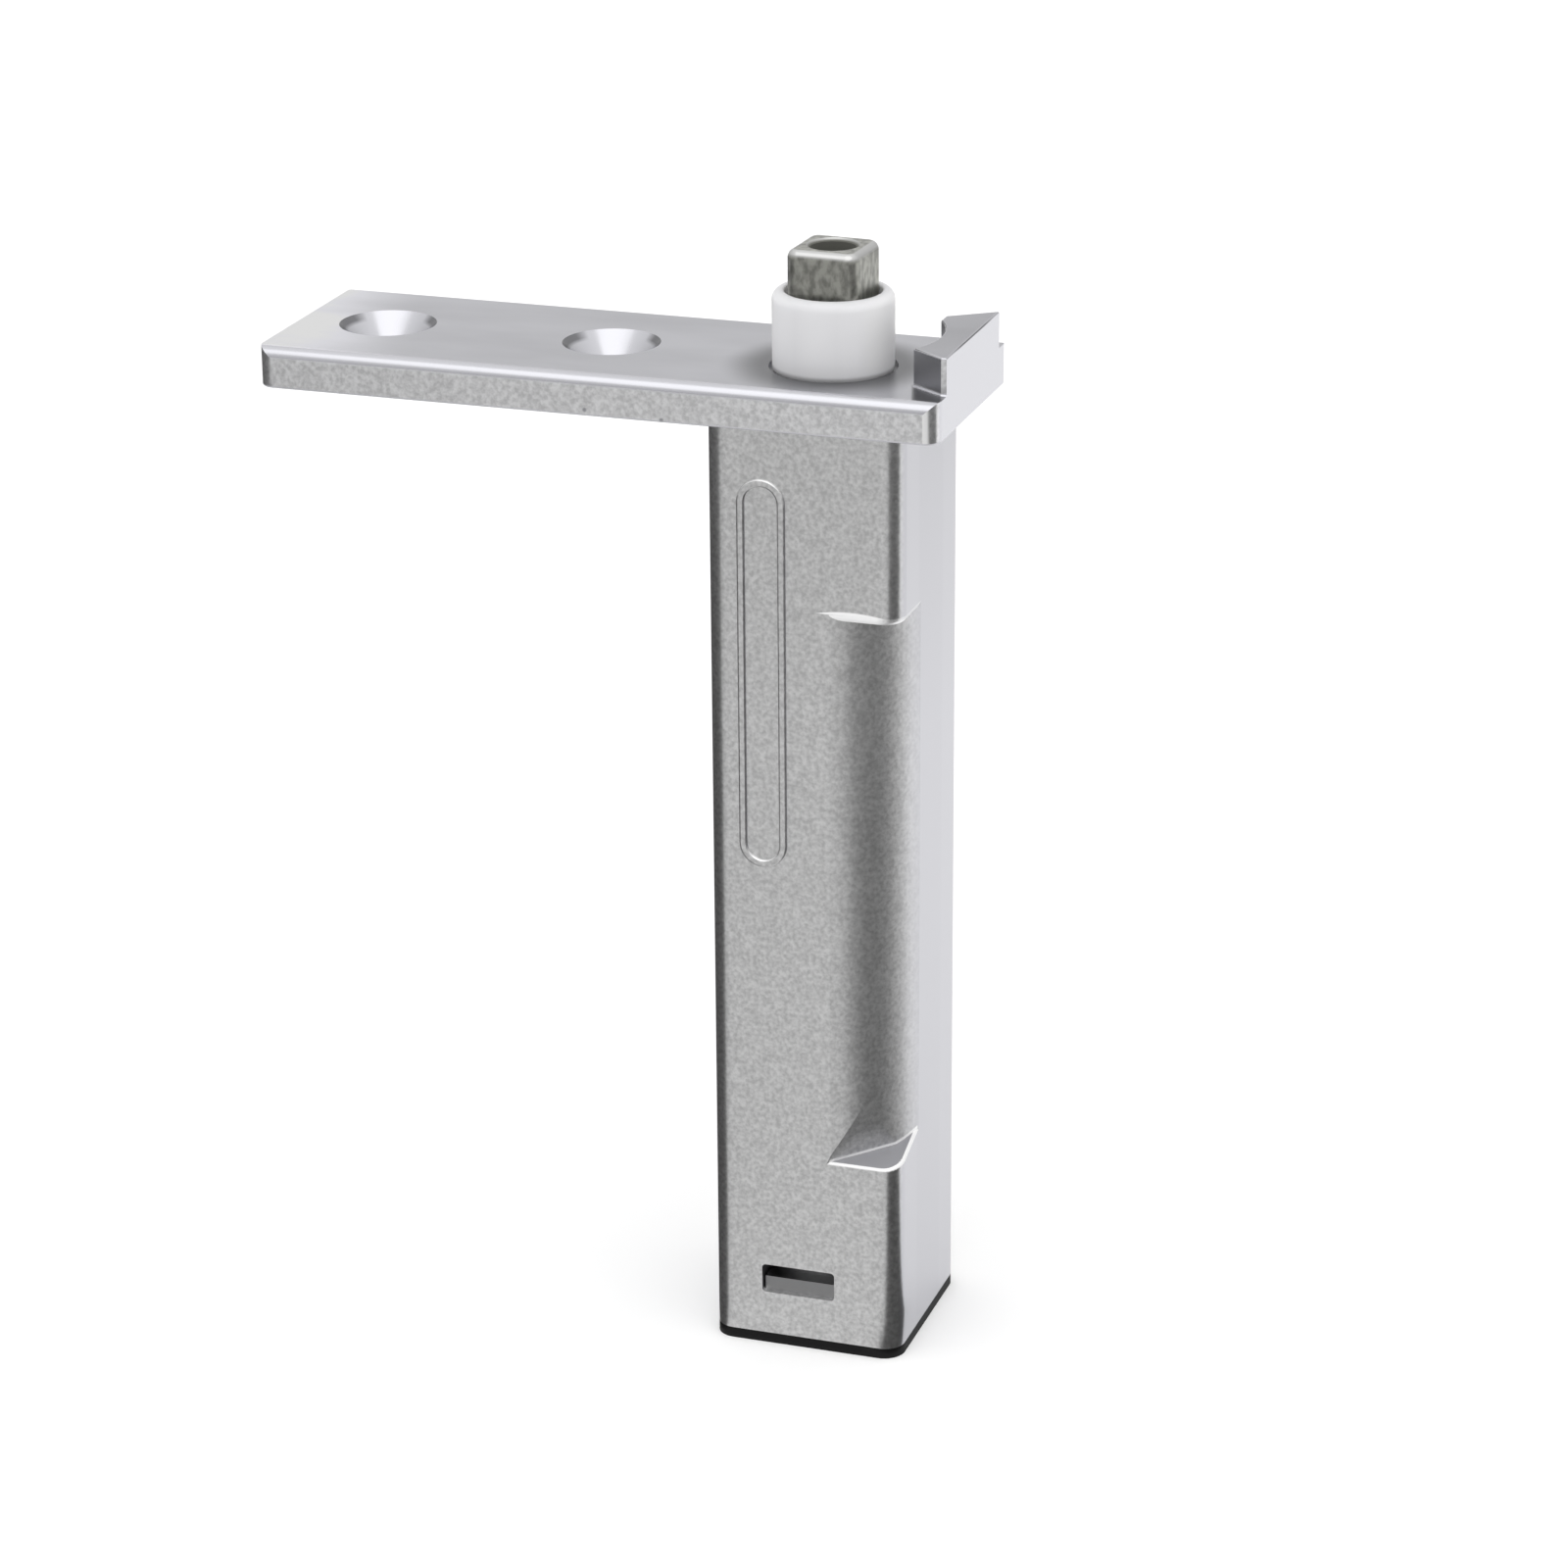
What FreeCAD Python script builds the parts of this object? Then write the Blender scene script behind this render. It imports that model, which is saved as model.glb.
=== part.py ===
import FreeCAD, Part
import math
import os
import re
import Sketcher

# Spring cartridge pivot hinge. Millimetres and degrees.
# The origin is where the pivot axis leaves the top face of the mounting plate. +Z is up along the pivot,
# +X points to the plate's short end with the stop, and -Y to the front face that carries the name panel.

SIZES = [
    ("plate_left", 70.9, "pivot axis to the long end of the plate"),
    ("plate_right", 17.1, "pivot axis to the short end of the plate"),
    ("plate_step", 0.25, "front edge of the plate beyond the front face of the cartridge"),
    ("plate_back", 17.2, "pivot axis to the back edge of the plate"),
    ("plate_thickness", 5.2, "thickness of the plate"),
    ("plate_corner", 1.9, "radius of the upright corners of the plate"),
    ("plate_edge", 1.45, "rounding of the long top edges of the plate"),
    ("plate_burr", 0.3, "rounding of the bottom edge of the plate"),
    ("screw_first", 29.6, "pivot axis to the nearer screw hole"),
    ("screw_spacing", 30.0, "distance between the two screw holes"),
    ("screw_hole", 6.5, "diameter of a screw hole, for M6"),
    ("screw_head", 12.3, "diameter of the countersink at the top face"),
    ("stop_height", 4.7, "height of the door stop above the plate"),
    ("stop_inner", 11.45, "pivot axis to the inner wall of the stop at its back end"),
    ("stop_clear_radius", 13.6, "radius about the pivot that the stop leaves free"),
    ("stop_near", 9.25, "pivot axis to the front end of the stop"),
    ("stop_far", 13.3, "pivot axis to the back end of the stop"),
    ("stop_flat", 0.7, "width of the flat on the front end of the stop"),
    ("stop_flank", 35.2, "angle between a flank of the stop and the X axis"),
    ("stop_foot", 0.35, "rounding at the foot of the stop"),
    ("stop_edge", 0.25, "rounding of the top edges of the stop"),
    ("bush_seat", 0.6, "depth of the round seat of the bush in the plate"),
    ("bush_seat_gap", 0.45, "gap around the bush in its seat"),
    ("body_width", 25.0, "cartridge across X"),
    ("body_depth", 25.5, "cartridge across Y"),
    ("body_length", 120.9, "cartridge below the plate, without the cap"),
    ("body_corner", 2.6, "radius of the upright edges of the cartridge"),
    ("bore_radius", 10.0, "radius of the spring bore"),
    ("neck_height", 7.3, "thickness of metal above the spring bore"),
    ("neck_web", 0.6, "metal left above the neck bearing"),
    ("spigot_wall", 1.1, "wall of the spigot that is staked in the plate"),
    ("stake_flare", 0.35, "how far the staked rim of the spigot spreads"),
    ("relief_drop", 23.35, "underside of the plate to the top of the corner relief"),
    ("relief_length", 72.35, "length of the corner relief"),
    ("relief_radius", 13.2, "radius of the corner relief about the pivot axis"),
    ("flare_length", 8.4, "length of the deeper run-out at the foot of the relief"),
    ("flare_depth", 1.05, "extra depth of the relief at its foot"),
    ("flare_turn", 55.0, "direction of the run-out, from +X towards -Y"),
    ("lip_round", 1.0, "rounding of the edge above the relief"),
    ("ledge_slope", 17.5, "rise of the ledge below the relief towards the back"),
    ("ledge_round", 0.5, "rounding of the edge below the relief"),
    ("panel_width", 6.2, "width of the raised frame for a name panel"),
    ("panel_length", 50.3, "length of that frame"),
    ("panel_drop", 6.0, "underside of the plate to that frame"),
    ("panel_middle", 5.2, "pivot axis to the middle of that frame, to the left"),
    ("panel_rim", 1.0, "width of the raised line of that frame"),
    ("panel_rise", 0.35, "height of the raised line of that frame"),
    ("panel_round", 0.3, "rounding of the raised line of that frame"),
    ("window_width", 9.7, "width of the retainer window"),
    ("window_height", 3.9, "height of the retainer window"),
    ("window_middle", 1.0, "pivot axis to the middle of the window, to the left"),
    ("window_rise", 5.8, "metal below the retainer window"),
    ("window_corner", 0.5, "corner radius of the retainer window"),
    ("dowel_diameter", 3.0, "diameter of a locating dowel"),
    ("dowel_reach", 4.4, "how deep a dowel sits in the cartridge"),
    ("dowel_rise", 3.2, "how deep a dowel sits in the plate"),
    ("dowel_offset", 9.2, "pivot axis to a dowel, along X and along Y"),
    ("pin_square", 9.2, "drive square of the spindle across its flats"),
    ("pin_corner", 1.45, "corner radius of the drive square"),
    ("pin_edge", 1.1, "rounding of the top edge of the drive square"),
    ("pin_rise", 15.1, "height of the spindle above the plate"),
    ("pin_rest_turn", -3.0, "turn of the drive square at rest, against the plate"),
    ("square_base", 4.0, "height above the plate where the square begins"),
    ("square_step", 0.03, "journal radius beyond the corners of the square"),
    ("stud_hole", 5.8, "diameter of the hole in the top of the spindle"),
    ("stud_depth", 10.0, "depth of that hole"),
    ("stud_mouth", 0.4, "chamfer at the mouth of that hole"),
    ("running_fit", 0.05, "radial clearance of the journal and the shaft"),
    ("seal_section", 1.5, "section of the seal ring on the journal"),
    ("seal_gap", 0.03, "radial clearance of that ring in the bore"),
    ("seal_room", 0.5, "width of the ring's groove beyond the ring"),
    ("seal_level", 2.5, "top face of the plate down to the middle of that ring"),
    ("bush_wall", 1.51, "wall of the white pivot bush"),
    ("bush_rise", 9.6, "height of the bush above the plate"),
    ("bush_round", 1.2, "rounding of the outer top edge of the bush"),
    ("bush_lip", 0.3, "rounding of the inner top edge of the bush"),
    ("bearing_wall", 1.5, "wall of the neck bearing"),
    ("bearing_flange", 1.5, "thickness of the flange of the neck bearing"),
    ("bearing_spread", 9.0, "radius of the flange of the neck bearing"),
    ("washer_thickness", 1.2, "thickness of the thrust washer"),
    ("washer_radius", 9.3, "radius of the thrust washer"),
    ("end_play", 0.1, "axial play under the thrust washer"),
    ("collar_height", 3.0, "thickness of the spindle's collar"),
    ("bore_gap", 0.4, "radial gap between the bore and what turns in it"),
    ("shaft_radius", 5.0, "radius of the spindle's lower shaft"),
    ("cam_hub", 5.0, "height of the drive cam above its ramps"),
    ("cam_lead", 20.0, "travel of the cam ramps for a whole turn"),
    ("cam_gap", 0.15, "gap between the two cams along the axis"),
    ("cam_backlash", 2.0, "angle left between the upright flanks of the cams"),
    ("cam_pin_diameter", 3.0, "diameter of the pin through the drive cam"),
    ("cam_pin_short", 0.4, "how far the ends of that pin lie inside the cam"),
    ("slide_fit", 0.08, "radial clearance of the sliding follower"),
    ("follower_base", 16.0, "height of the follower below its ramps"),
    ("guide_drop", 9.0, "foot of the ramps to the axis of the guide pin"),
    ("guide_diameter", 4.0, "diameter of the guide pin"),
    ("guide_fit", 0.1, "clearance of the guide pin on each side of its groove"),
    ("guide_short", 0.4, "guide pin to the bottom of its groove"),
    ("guide_above", 0.5, "end of the shaft above the guide pin"),
    ("groove_depth", 2.6, "depth of the guide grooves beyond the bore"),
    ("groove_start", 14.0, "top of the bore to the top of the guide grooves"),
    ("seat_thickness", 1.5, "thickness of the upper spring seat"),
    ("seat_pilot", 3.0, "height of the upper seat's pilot"),
    ("seat_wall", 1.6, "wall of the upper seat's pilot"),
    ("spring_wire", 2.8, "wire of the closing spring"),
    ("spring_gap", 1.0, "radial gap between the spring and the bore"),
    ("spring_coils", 9.0, "working coils of the closing spring"),
    ("spring_pilot_gap", 0.3, "radial gap between the spring and its pilots"),
    ("spring_closed_pitch", 1.04, "rise of a closed end coil, in wires"),
    ("spring_grinding", 0.2, "wire ground off at each end of the spring, in wires"),
    ("spring_closed_coils", 0.9, "closed coils at each end of the spring"),
    ("spring_opening", 0.5, "coils over which the pitch opens"),
    ("anchor_thickness", 4.4, "thickness of the lower spring seat"),
    ("anchor_pilot", 5.0, "height of the lower seat's pilot"),
    ("anchor_gap", 0.2, "radial gap between the lower seat and the bore"),
    ("key_thickness", 1.9, "thickness of the retainer key"),
    ("key_gap", 0.2, "gap on each side of the key in its window"),
    ("key_recess", 0.8, "end of the key behind the face of the cartridge"),
    ("cap_flange", 1.4, "thickness of the rim of the end cap"),
    ("cap_corner", 2.8, "radius of the corner of the cap under the relief"),
    ("cap_plug", 4.5, "height of the plug of the end cap"),
    ("cap_gap", 0.05, "radial gap between the plug and the bore"),
    ("cap_wall", 1.6, "wall of the plug of the end cap"),
]

doc = FreeCAD.newDocument("pivot_hinge")
sheet = doc.addObject("Spreadsheet::Sheet", "Sizes")
for row, (alias, size, meaning) in enumerate(SIZES, start=1):
    sheet.set(f"A{row}", meaning)
    sheet.set(f"B{row}", str(size))
    sheet.setAlias(f"B{row}", alias)
doc.recompute()

ALIASES = {alias for alias, size, meaning in SIZES}
WORD = re.compile(r"[a-z]\w*")

# Levels and radii that several pieces share, as formulas of the sheet
PLATE_FRONT = "(body_depth / 2 + plate_step)"
BODY_TOP = "(-plate_thickness)"
BORE_TOP = f"({BODY_TOP} - neck_height)"
BODY_FOOT = f"({BODY_TOP} - body_length)"
RELIEF_TOP = f"({BODY_TOP} - relief_drop)"
RELIEF_FOOT = f"({RELIEF_TOP} - relief_length)"
JOURNAL = "((pin_square / 2 - pin_corner) * sqrt(2) + pin_corner + square_step)"
NECK = f"({JOURNAL} + running_fit)"
BUSH = f"({NECK} + bush_wall)"
BUSH_SEAT = f"({BUSH} + bush_seat_gap)"
SPIGOT = f"({NECK} + spigot_wall)"
SPIGOT_TOP = "(-bush_seat)"
BEARING = f"({NECK} + bearing_wall)"
SEAL_OUTER = f"({NECK} - seal_gap)"
SEAL_FLOOR = f"({SEAL_OUTER} - seal_section)"
WASHER_TOP = f"({BORE_TOP} - bearing_flange)"
COLLAR_TOP = f"({WASHER_TOP} - washer_thickness - end_play)"
COLLAR_FOOT = f"({COLLAR_TOP} - collar_height)"
RAMP_HEIGHT = "(cam_lead / 2)"
RAMP_FOOT = f"({COLLAR_FOOT} - cam_hub - {RAMP_HEIGHT})"
CAM_PIN_LEVEL = f"({COLLAR_FOOT} - cam_hub / 2)"
TURNING = "(bore_radius - bore_gap)"
GUIDE_LEVEL = f"({RAMP_FOOT} - guide_drop)"
SHAFT_FOOT = f"({GUIDE_LEVEL} + guide_diameter / 2 + guide_above)"
FOLLOWER_FOOT = f"({RAMP_FOOT} - follower_base)"
FOLLOWER = "(bore_radius - slide_fit)"
FOLLOWER_BORE = "(shaft_radius + running_fit)"
SPRING_TOP = f"({FOLLOWER_FOOT} - seat_thickness)"
SPRING_OUTER = "(bore_radius - spring_gap)"
PILOT = f"({SPRING_OUTER} - spring_wire - spring_pilot_gap)"
KEY_FOOT = f"({BODY_FOOT} + window_rise)"
ANCHOR_FOOT = f"({KEY_FOOT} + key_thickness)"
SPRING_FOOT = f"({ANCHOR_FOOT} + anchor_thickness)"
GROOVE_RADIUS = "(bore_radius + groove_depth)"
GROOVE_WIDTH = "(guide_diameter + 2 * guide_fit)"
GROOVE_TURN = 45.0
HALF_TURN = 180.0
CUT_OVERRUN = 2.0
STEPS_PER_COIL = 16


def full(formula):
    """The formula with the sheet's name before each of its aliases."""
    return WORD.sub(lambda word: "Sizes." + word.group() if word.group() in ALIASES else word.group(), formula)


def number(formula):
    """What a formula of the sheet comes to."""
    return float(sheet.evalExpression(full(formula)))


def bind(item, path, formula):
    """Ties a property to a formula of the sheet."""
    item.setExpression(path, full(formula))


def place(item, x="0", y="0", z="0"):
    """Puts an object where three formulas say."""
    for axis, formula in (("x", x), ("y", y), ("z", z)):
        bind(item, f"Placement.Base.{axis}", formula)
    return item


def turn_about_z(item, degrees):
    """Turns an object about the pivot axis."""
    item.Placement = FreeCAD.Placement(FreeCAD.Vector(), FreeCAD.Rotation(FreeCAD.Vector(0, 0, 1), degrees))
    return item


# Sketches and features of a body

def new_body(name):
    """An empty body that carries the name of its piece."""
    body = doc.addObject("PartDesign::Body", name)
    body.Label = name
    return body


def new_sketch(body, plane, level="0"):
    """An empty sketch on one of the body's own origin planes, moved along the plane's normal."""
    sketch = body.newObject("Sketcher::SketchObject", "Sketch")
    base = next(feature for feature in body.Origin.OriginFeatures if feature.Role == plane)
    sketch.AttachmentSupport = [(base, "")]
    sketch.MapMode = "FlatFace"
    bind(sketch, "AttachmentOffset.Base.z", level)
    return sketch


def pin_down(sketch, kind, target, formula):
    """A driving dimension of a sketch, tied to a formula."""
    index = sketch.addConstraint(Sketcher.Constraint(kind, *target, number(formula)))
    bind(sketch, f"Constraints[{index}]", formula)


def outline(body, plane, points, level="0", turn="0"):
    """A closed sketch of straight lines through points that are pairs of formulas, turned in its plane."""
    sketch = new_sketch(body, plane, level)
    bind(sketch, "AttachmentOffset.Rotation.Angle", turn)
    corners = [FreeCAD.Vector(number(x), number(y), 0) for x, y in points]
    following = corners[1:] + corners[:1]
    for start, end in zip(corners, following):
        sketch.addGeometry(Part.LineSegment(start, end))
    for line in range(len(corners)):
        sketch.addConstraint(Sketcher.Constraint("Coincident", line, 2, (line + 1) % len(corners), 1))
    for line, (x, y) in enumerate(points):
        pin_down(sketch, "DistanceX", (-1, 1, line, 1), x)
        pin_down(sketch, "DistanceY", (-1, 1, line, 1), y)
    return sketch


def rectangle(half_width, half_depth):
    """The corners of a rectangle about the origin."""
    return [
        (f"-({half_width})", f"-({half_depth})"),
        (half_width, f"-({half_depth})"),
        (half_width, half_depth),
        (f"-({half_width})", half_depth),
    ]


def ring_sketch(body, plane, radius, x="0", y="0", level="0"):
    """A sketch of one circle."""
    sketch = new_sketch(body, plane, level)
    middle = FreeCAD.Vector(number(x), number(y), 0)
    sketch.addGeometry(Part.Circle(middle, FreeCAD.Vector(0, 0, 1), number(radius)))
    pin_down(sketch, "DistanceX", (-1, 1, 0, 3), x)
    pin_down(sketch, "DistanceY", (-1, 1, 0, 3), y)
    pin_down(sketch, "Radius", (0,), radius)
    return sketch


def edge_sketch(body, edge, radius, side):
    """What rounding takes off a long top edge at Y = edge, drawn at the plate's left end."""
    sketch = new_sketch(body, "YZ_Plane", "-plate_left")
    corner, size = number(edge), number(radius)
    middle = FreeCAD.Vector(corner - side * size, -size, 0)
    beside, below = FreeCAD.Vector(middle.x, 0, 0), FreeCAD.Vector(corner, -size, 0)
    start = 0.0 if side > 0 else math.pi / 2
    circle = Part.Circle(middle, FreeCAD.Vector(0, 0, 1), size)
    sketch.addGeometry(Part.LineSegment(beside, FreeCAD.Vector(corner, 0, 0)))
    sketch.addGeometry(Part.LineSegment(FreeCAD.Vector(corner, 0, 0), below))
    sketch.addGeometry(Part.ArcOfCircle(circle, start, start + math.pi / 2))
    low_end, high_end = (1, 2) if side > 0 else (2, 1)
    sketch.addConstraint(Sketcher.Constraint("Coincident", 0, 2, 1, 1))
    sketch.addConstraint(Sketcher.Constraint("Coincident", 1, 2, 2, low_end))
    sketch.addConstraint(Sketcher.Constraint("Coincident", 2, high_end, 0, 1))
    pin_down(sketch, "DistanceX", (-1, 1, 0, 2), edge)
    pin_down(sketch, "DistanceY", (-1, 1, 0, 2), "0")
    pin_down(sketch, "DistanceX", (-1, 1, 2, 3), f"{edge} - ({side}) * {radius}")
    pin_down(sketch, "DistanceY", (-1, 1, 2, 3), f"-{radius}")
    pin_down(sketch, "Radius", (2,), radius)
    return sketch


def pad(body, sketch, length):
    """Material from a sketch along its normal."""
    feature = body.newObject("PartDesign::Pad", "Pad")
    feature.Profile = sketch
    bind(feature, "Length", length)
    return feature


def pocket(body, sketch, depth, along_normal=False):
    """A cut from a sketch against its normal, or along it."""
    feature = body.newObject("PartDesign::Pocket", "Pocket")
    feature.Profile = sketch
    feature.Reversed = along_normal
    bind(feature, "Length", depth)
    return feature


def revolve(body, points):
    """Material from a half section, radius and height, turned about the Z axis."""
    sketch = outline(body, "XZ_Plane", points)
    feature = body.newObject("PartDesign::Revolution", "Revolution")
    feature.Profile = sketch
    feature.ReferenceAxis = (sketch, ["V_Axis"])
    feature.Angle = 360.0
    return feature


def dress(body, base, kind, size, chosen):
    """Rounds or chamfers the chosen edges of a body's last feature."""
    doc.recompute()
    edges = [f"Edge{index}" for index, edge in enumerate(base.Shape.Edges, start=1) if chosen(edge)]
    feature = body.newObject(f"PartDesign::{kind}", kind)
    feature.Base = (base, edges)
    bind(feature, "Radius" if kind == "Fillet" else "Size", size)
    return feature


# Tests that pick edges

NEAR = 0.001


def upright(edge):
    """An edge along Z."""
    ends = edge.Vertexes
    return len(ends) == 2 and math.hypot(ends[0].X - ends[1].X, ends[0].Y - ends[1].Y) < NEAR


def at_level(formula):
    """Edges that lie flat at one level."""
    level = number(formula)
    return lambda edge: abs(edge.BoundBox.ZMin - level) < NEAR and abs(edge.BoundBox.ZMax - level) < NEAR


def foot_of_stop():
    """The straight edges where the front of the stop meets the plate's top face."""
    flat, inner, right = at_level("0"), number("stop_inner") - NEAR, number("plate_right") - NEAR
    near = -number("stop_near") - NEAR

    def chosen(edge):
        bounds = edge.BoundBox
        in_front = inner < bounds.XMin < right and near < bounds.YMin and bounds.YMax < 0
        return flat(edge) and isinstance(edge.Curve, Part.Line) and in_front

    return chosen


def circle_at(radius, level):
    """Whole circles of one radius at one level."""
    flat = at_level(level)
    size = number(radius)
    return lambda edge: flat(edge) and isinstance(edge.Curve, Part.Circle) and abs(edge.Curve.Radius - size) < NEAR


# Primitives and booleans

def box(name, low, high):
    """A block between two corners given as formulas."""
    block = doc.addObject("Part::Box", name)
    for side, start, end in zip(("Length", "Width", "Height"), low, high):
        bind(block, side, f"({end}) - ({start})")
    return place(block, *low)


def cylinder(name, radius, foot, top, x="0", y="0"):
    """An upright cylinder between two levels."""
    rod = doc.addObject("Part::Cylinder", name)
    bind(rod, "Radius", radius)
    bind(rod, "Height", f"({top}) - ({foot})")
    return place(rod, x, y, foot)


def cross_cylinder(name, radius, reach, level, degrees):
    """A cylinder through the pivot axis, lying level and turned about Z from the X axis."""
    rod = doc.addObject("Part::Cylinder", name)
    bind(rod, "Radius", radius)
    bind(rod, "Height", f"2 * ({reach})")
    direction = FreeCAD.Rotation(FreeCAD.Vector(0, 0, 1), degrees).multVec(FreeCAD.Vector(1, 0, 0))
    rod.Placement.Rotation = FreeCAD.Rotation(FreeCAD.Vector(0, 0, 1), direction)
    return place(rod, f"-({reach}) * cos({degrees})", f"-({reach}) * sin({degrees})", level)


def cut(name, base, tool):
    """One shape less another."""
    result = doc.addObject("Part::Cut", name)
    result.Base = base
    result.Tool = tool
    result.Refine = True
    return result


def common(name, base, tool):
    """What two shapes share."""
    result = doc.addObject("Part::Common", name)
    result.Base = base
    result.Tool = tool
    result.Refine = True
    return result


def fuse(name, shapes):
    """Several shapes as one."""
    result = doc.addObject("Part::MultiFuse", name)
    result.Shapes = shapes
    result.Refine = True
    return result


def rounded(name, base, radius, chosen):
    """A shape with the chosen edges rounded."""
    doc.recompute()
    size = number(radius)
    result = doc.addObject("Part::Fillet", name)
    result.Base = base
    result.Edges = [(index, size, size) for index, edge in enumerate(base.Shape.Edges, start=1) if chosen(edge)]
    return result


def square_block(name, foot, top):
    """A length of the cartridge's square section with its upright edges rounded."""
    block = box(
        f"{name}_block",
        ("-body_width / 2", "-body_depth / 2", foot),
        ("body_width / 2", "body_depth / 2", top),
    )
    return rounded(name, block, "body_corner", upright)


# The pieces

def mounting_plate():
    """Flat steel plate with two countersunk holes and a door stop, bored for the spigot and the dowels."""
    body = new_body("mounting_plate")
    left, right = "-plate_left", "plate_right"
    front, back = f"-{PLATE_FRONT}", "plate_back"
    corners = [(left, front), (right, front), (right, back), (left, back)]
    feature = pad(body, outline(body, "XY_Plane", corners, BODY_TOP), "plate_thickness")
    feature = dress(body, feature, "Fillet", "plate_corner", upright)
    dress(body, feature, "Fillet", "plate_burr", at_level(BODY_TOP))
    for edge, side in ((front, -1), (back, 1)):
        pocket(body, edge_sketch(body, edge, "plate_edge", side), "plate_left + plate_right", along_normal=True)
    near_run = "(plate_right - stop_flat - stop_inner) * tan(stop_flank)"
    far_run = "(plate_right - stop_inner) * tan(stop_flank)"
    stop = [
        ("stop_inner", f"-stop_near + {near_run}"),
        ("plate_right - stop_flat", "-stop_near"),
        ("plate_right", "-stop_near"),
        ("plate_right", "stop_far"),
        ("stop_inner", f"stop_far - {far_run}"),
    ]
    pad(body, outline(body, "XY_Plane", stop, "-plate_edge"), "stop_height + plate_edge")
    clearing = ring_sketch(body, "XY_Plane", "stop_clear_radius", level="stop_height")
    feature = pocket(body, clearing, "stop_height")
    feature = dress(body, feature, "Fillet", "stop_edge", at_level("stop_height"))
    dress(body, feature, "Fillet", "stop_foot", foot_of_stop())
    pocket(body, ring_sketch(body, "XY_Plane", BUSH_SEAT), "bush_seat")
    feature = pocket(body, ring_sketch(body, "XY_Plane", SPIGOT), "plate_thickness")
    feature = dress(body, feature, "Chamfer", "stake_flare", circle_at(SPIGOT, "-bush_seat"))
    for position in ("-screw_first", "-screw_first - screw_spacing"):
        middle = f"(plate_back - {PLATE_FRONT}) / 2"
        pocket(body, ring_sketch(body, "XY_Plane", "screw_hole / 2", position, middle), "plate_thickness")
    feature = body.Tip
    feature = dress(body, feature, "Chamfer", "(screw_head - screw_hole) / 2", circle_at("screw_hole / 2", "0"))
    for x, y in DOWEL_PLACES:
        hole = ring_sketch(body, "XY_Plane", "dowel_diameter / 2", x, y, BODY_TOP)
        pocket(body, hole, "dowel_rise", along_normal=True)
    return body


DOWEL_PLACES = [("-dowel_offset", "dowel_offset"), ("dowel_offset", "-dowel_offset")]


def locating_dowels():
    """Two steel dowels that keep the plate square on the cartridge."""
    pins = [
        cylinder("dowel", "dowel_diameter / 2", f"{BODY_TOP} - dowel_reach", f"{BODY_TOP} + dowel_rise", x, y)
        for x, y in DOWEL_PLACES
    ]
    group = doc.addObject("Part::Compound", "locating_dowels")
    group.Links = pins
    return group


def corner_relief():
    """What is cut from the front right edge: all beyond a drum about the pivot, and a deeper run-out at its foot."""
    low, high = f"{RELIEF_FOOT} - {CUT_OVERRUN}", f"{RELIEF_TOP} + {CUT_OVERRUN}"
    quarter = box("relief_quarter", ("0", "-body_depth", low), ("body_width", "0", high))
    drum = cylinder("relief_drum", "relief_radius", low, high)
    sweep = cut("relief_sweep", quarter, drum)
    flare_top = f"({RELIEF_FOOT} + flare_length)"
    flare_radius = "((flare_length ^ 2 + flare_depth ^ 2) / (2 * flare_depth))"
    slab = box(
        "flare_slab",
        ("relief_radius / 2", "-body_depth", low),
        ("body_width", "body_depth", flare_top),
    )
    wheel = doc.addObject("Part::Cylinder", "flare_wheel")
    bind(wheel, "Radius", flare_radius)
    bind(wheel, "Height", "4 * body_depth")
    wheel.Placement.Rotation = FreeCAD.Rotation(FreeCAD.Vector(1, 0, 0), 90)
    place(wheel, f"relief_radius - {flare_radius}", "2 * body_depth", flare_top)
    flare = turn_about_z(cut("flare", slab, wheel), -number("flare_turn"))
    return fuse("relief", [sweep, flare])


def sloped_ledge():
    """The cartridge below the relief, up to a ledge that rises towards the back."""
    lower = square_block("lower_block", BODY_FOOT, f"{RELIEF_FOOT} + body_depth")
    above = box("ledge_slab", ("-body_width", "0", "0"), ("body_width", "2 * body_depth", "2 * body_depth"))
    place(above, "-body_width", "-body_depth / 2", RELIEF_FOOT)
    above.Placement.Rotation = FreeCAD.Rotation(FreeCAD.Vector(1, 0, 0), number("ledge_slope"))
    ledge = cut("ledge", lower, above)
    foot, front, rise = number(RELIEF_FOOT), number("-body_depth / 2"), number("tan(ledge_slope)")
    on_slope = lambda edge: all(abs(end.Z - foot - (end.Y - front) * rise) < NEAR for end in edge.Vertexes)
    return rounded("lower_ledge", ledge, "ledge_round", on_slope)


def name_panel():
    """A raised frame with round ends on the front face, bare inside."""
    front = "(-body_depth / 2)"
    top = f"({BODY_TOP} - panel_drop)"

    def stadium(name, inset, rise):
        """A solid with round ends, upright along the front face."""
        half = f"(panel_width / 2 - {inset})"
        upper = f"({top} - panel_width / 2)"
        lower = f"({top} - panel_length + panel_width / 2)"
        middle = box(
            f"{name}_middle",
            (f"-panel_middle - {half}", f"{front} - {rise}", lower),
            (f"-panel_middle + {half}", f"{front} + panel_rim", upper),
        )
        ends = []
        for level in (upper, lower):
            end = doc.addObject("Part::Cylinder", f"{name}_end")
            bind(end, "Radius", half)
            bind(end, "Height", f"{rise} + panel_rim")
            end.Placement.Rotation = FreeCAD.Rotation(FreeCAD.Vector(1, 0, 0), 90)
            ends.append(place(end, "-panel_middle", f"{front} + panel_rim", level))
        return fuse(name, [middle] + ends)

    frame = cut("panel_frame", stadium("panel_outer", "0", "panel_rise"), stadium("panel_inner", "panel_rim", "1"))
    outer_face = number(f"{front} - panel_rise")
    edge_on_face = lambda edge: abs(edge.BoundBox.YMax - outer_face) < NEAR
    return rounded("panel_line", frame, "panel_round", edge_on_face)


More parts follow.
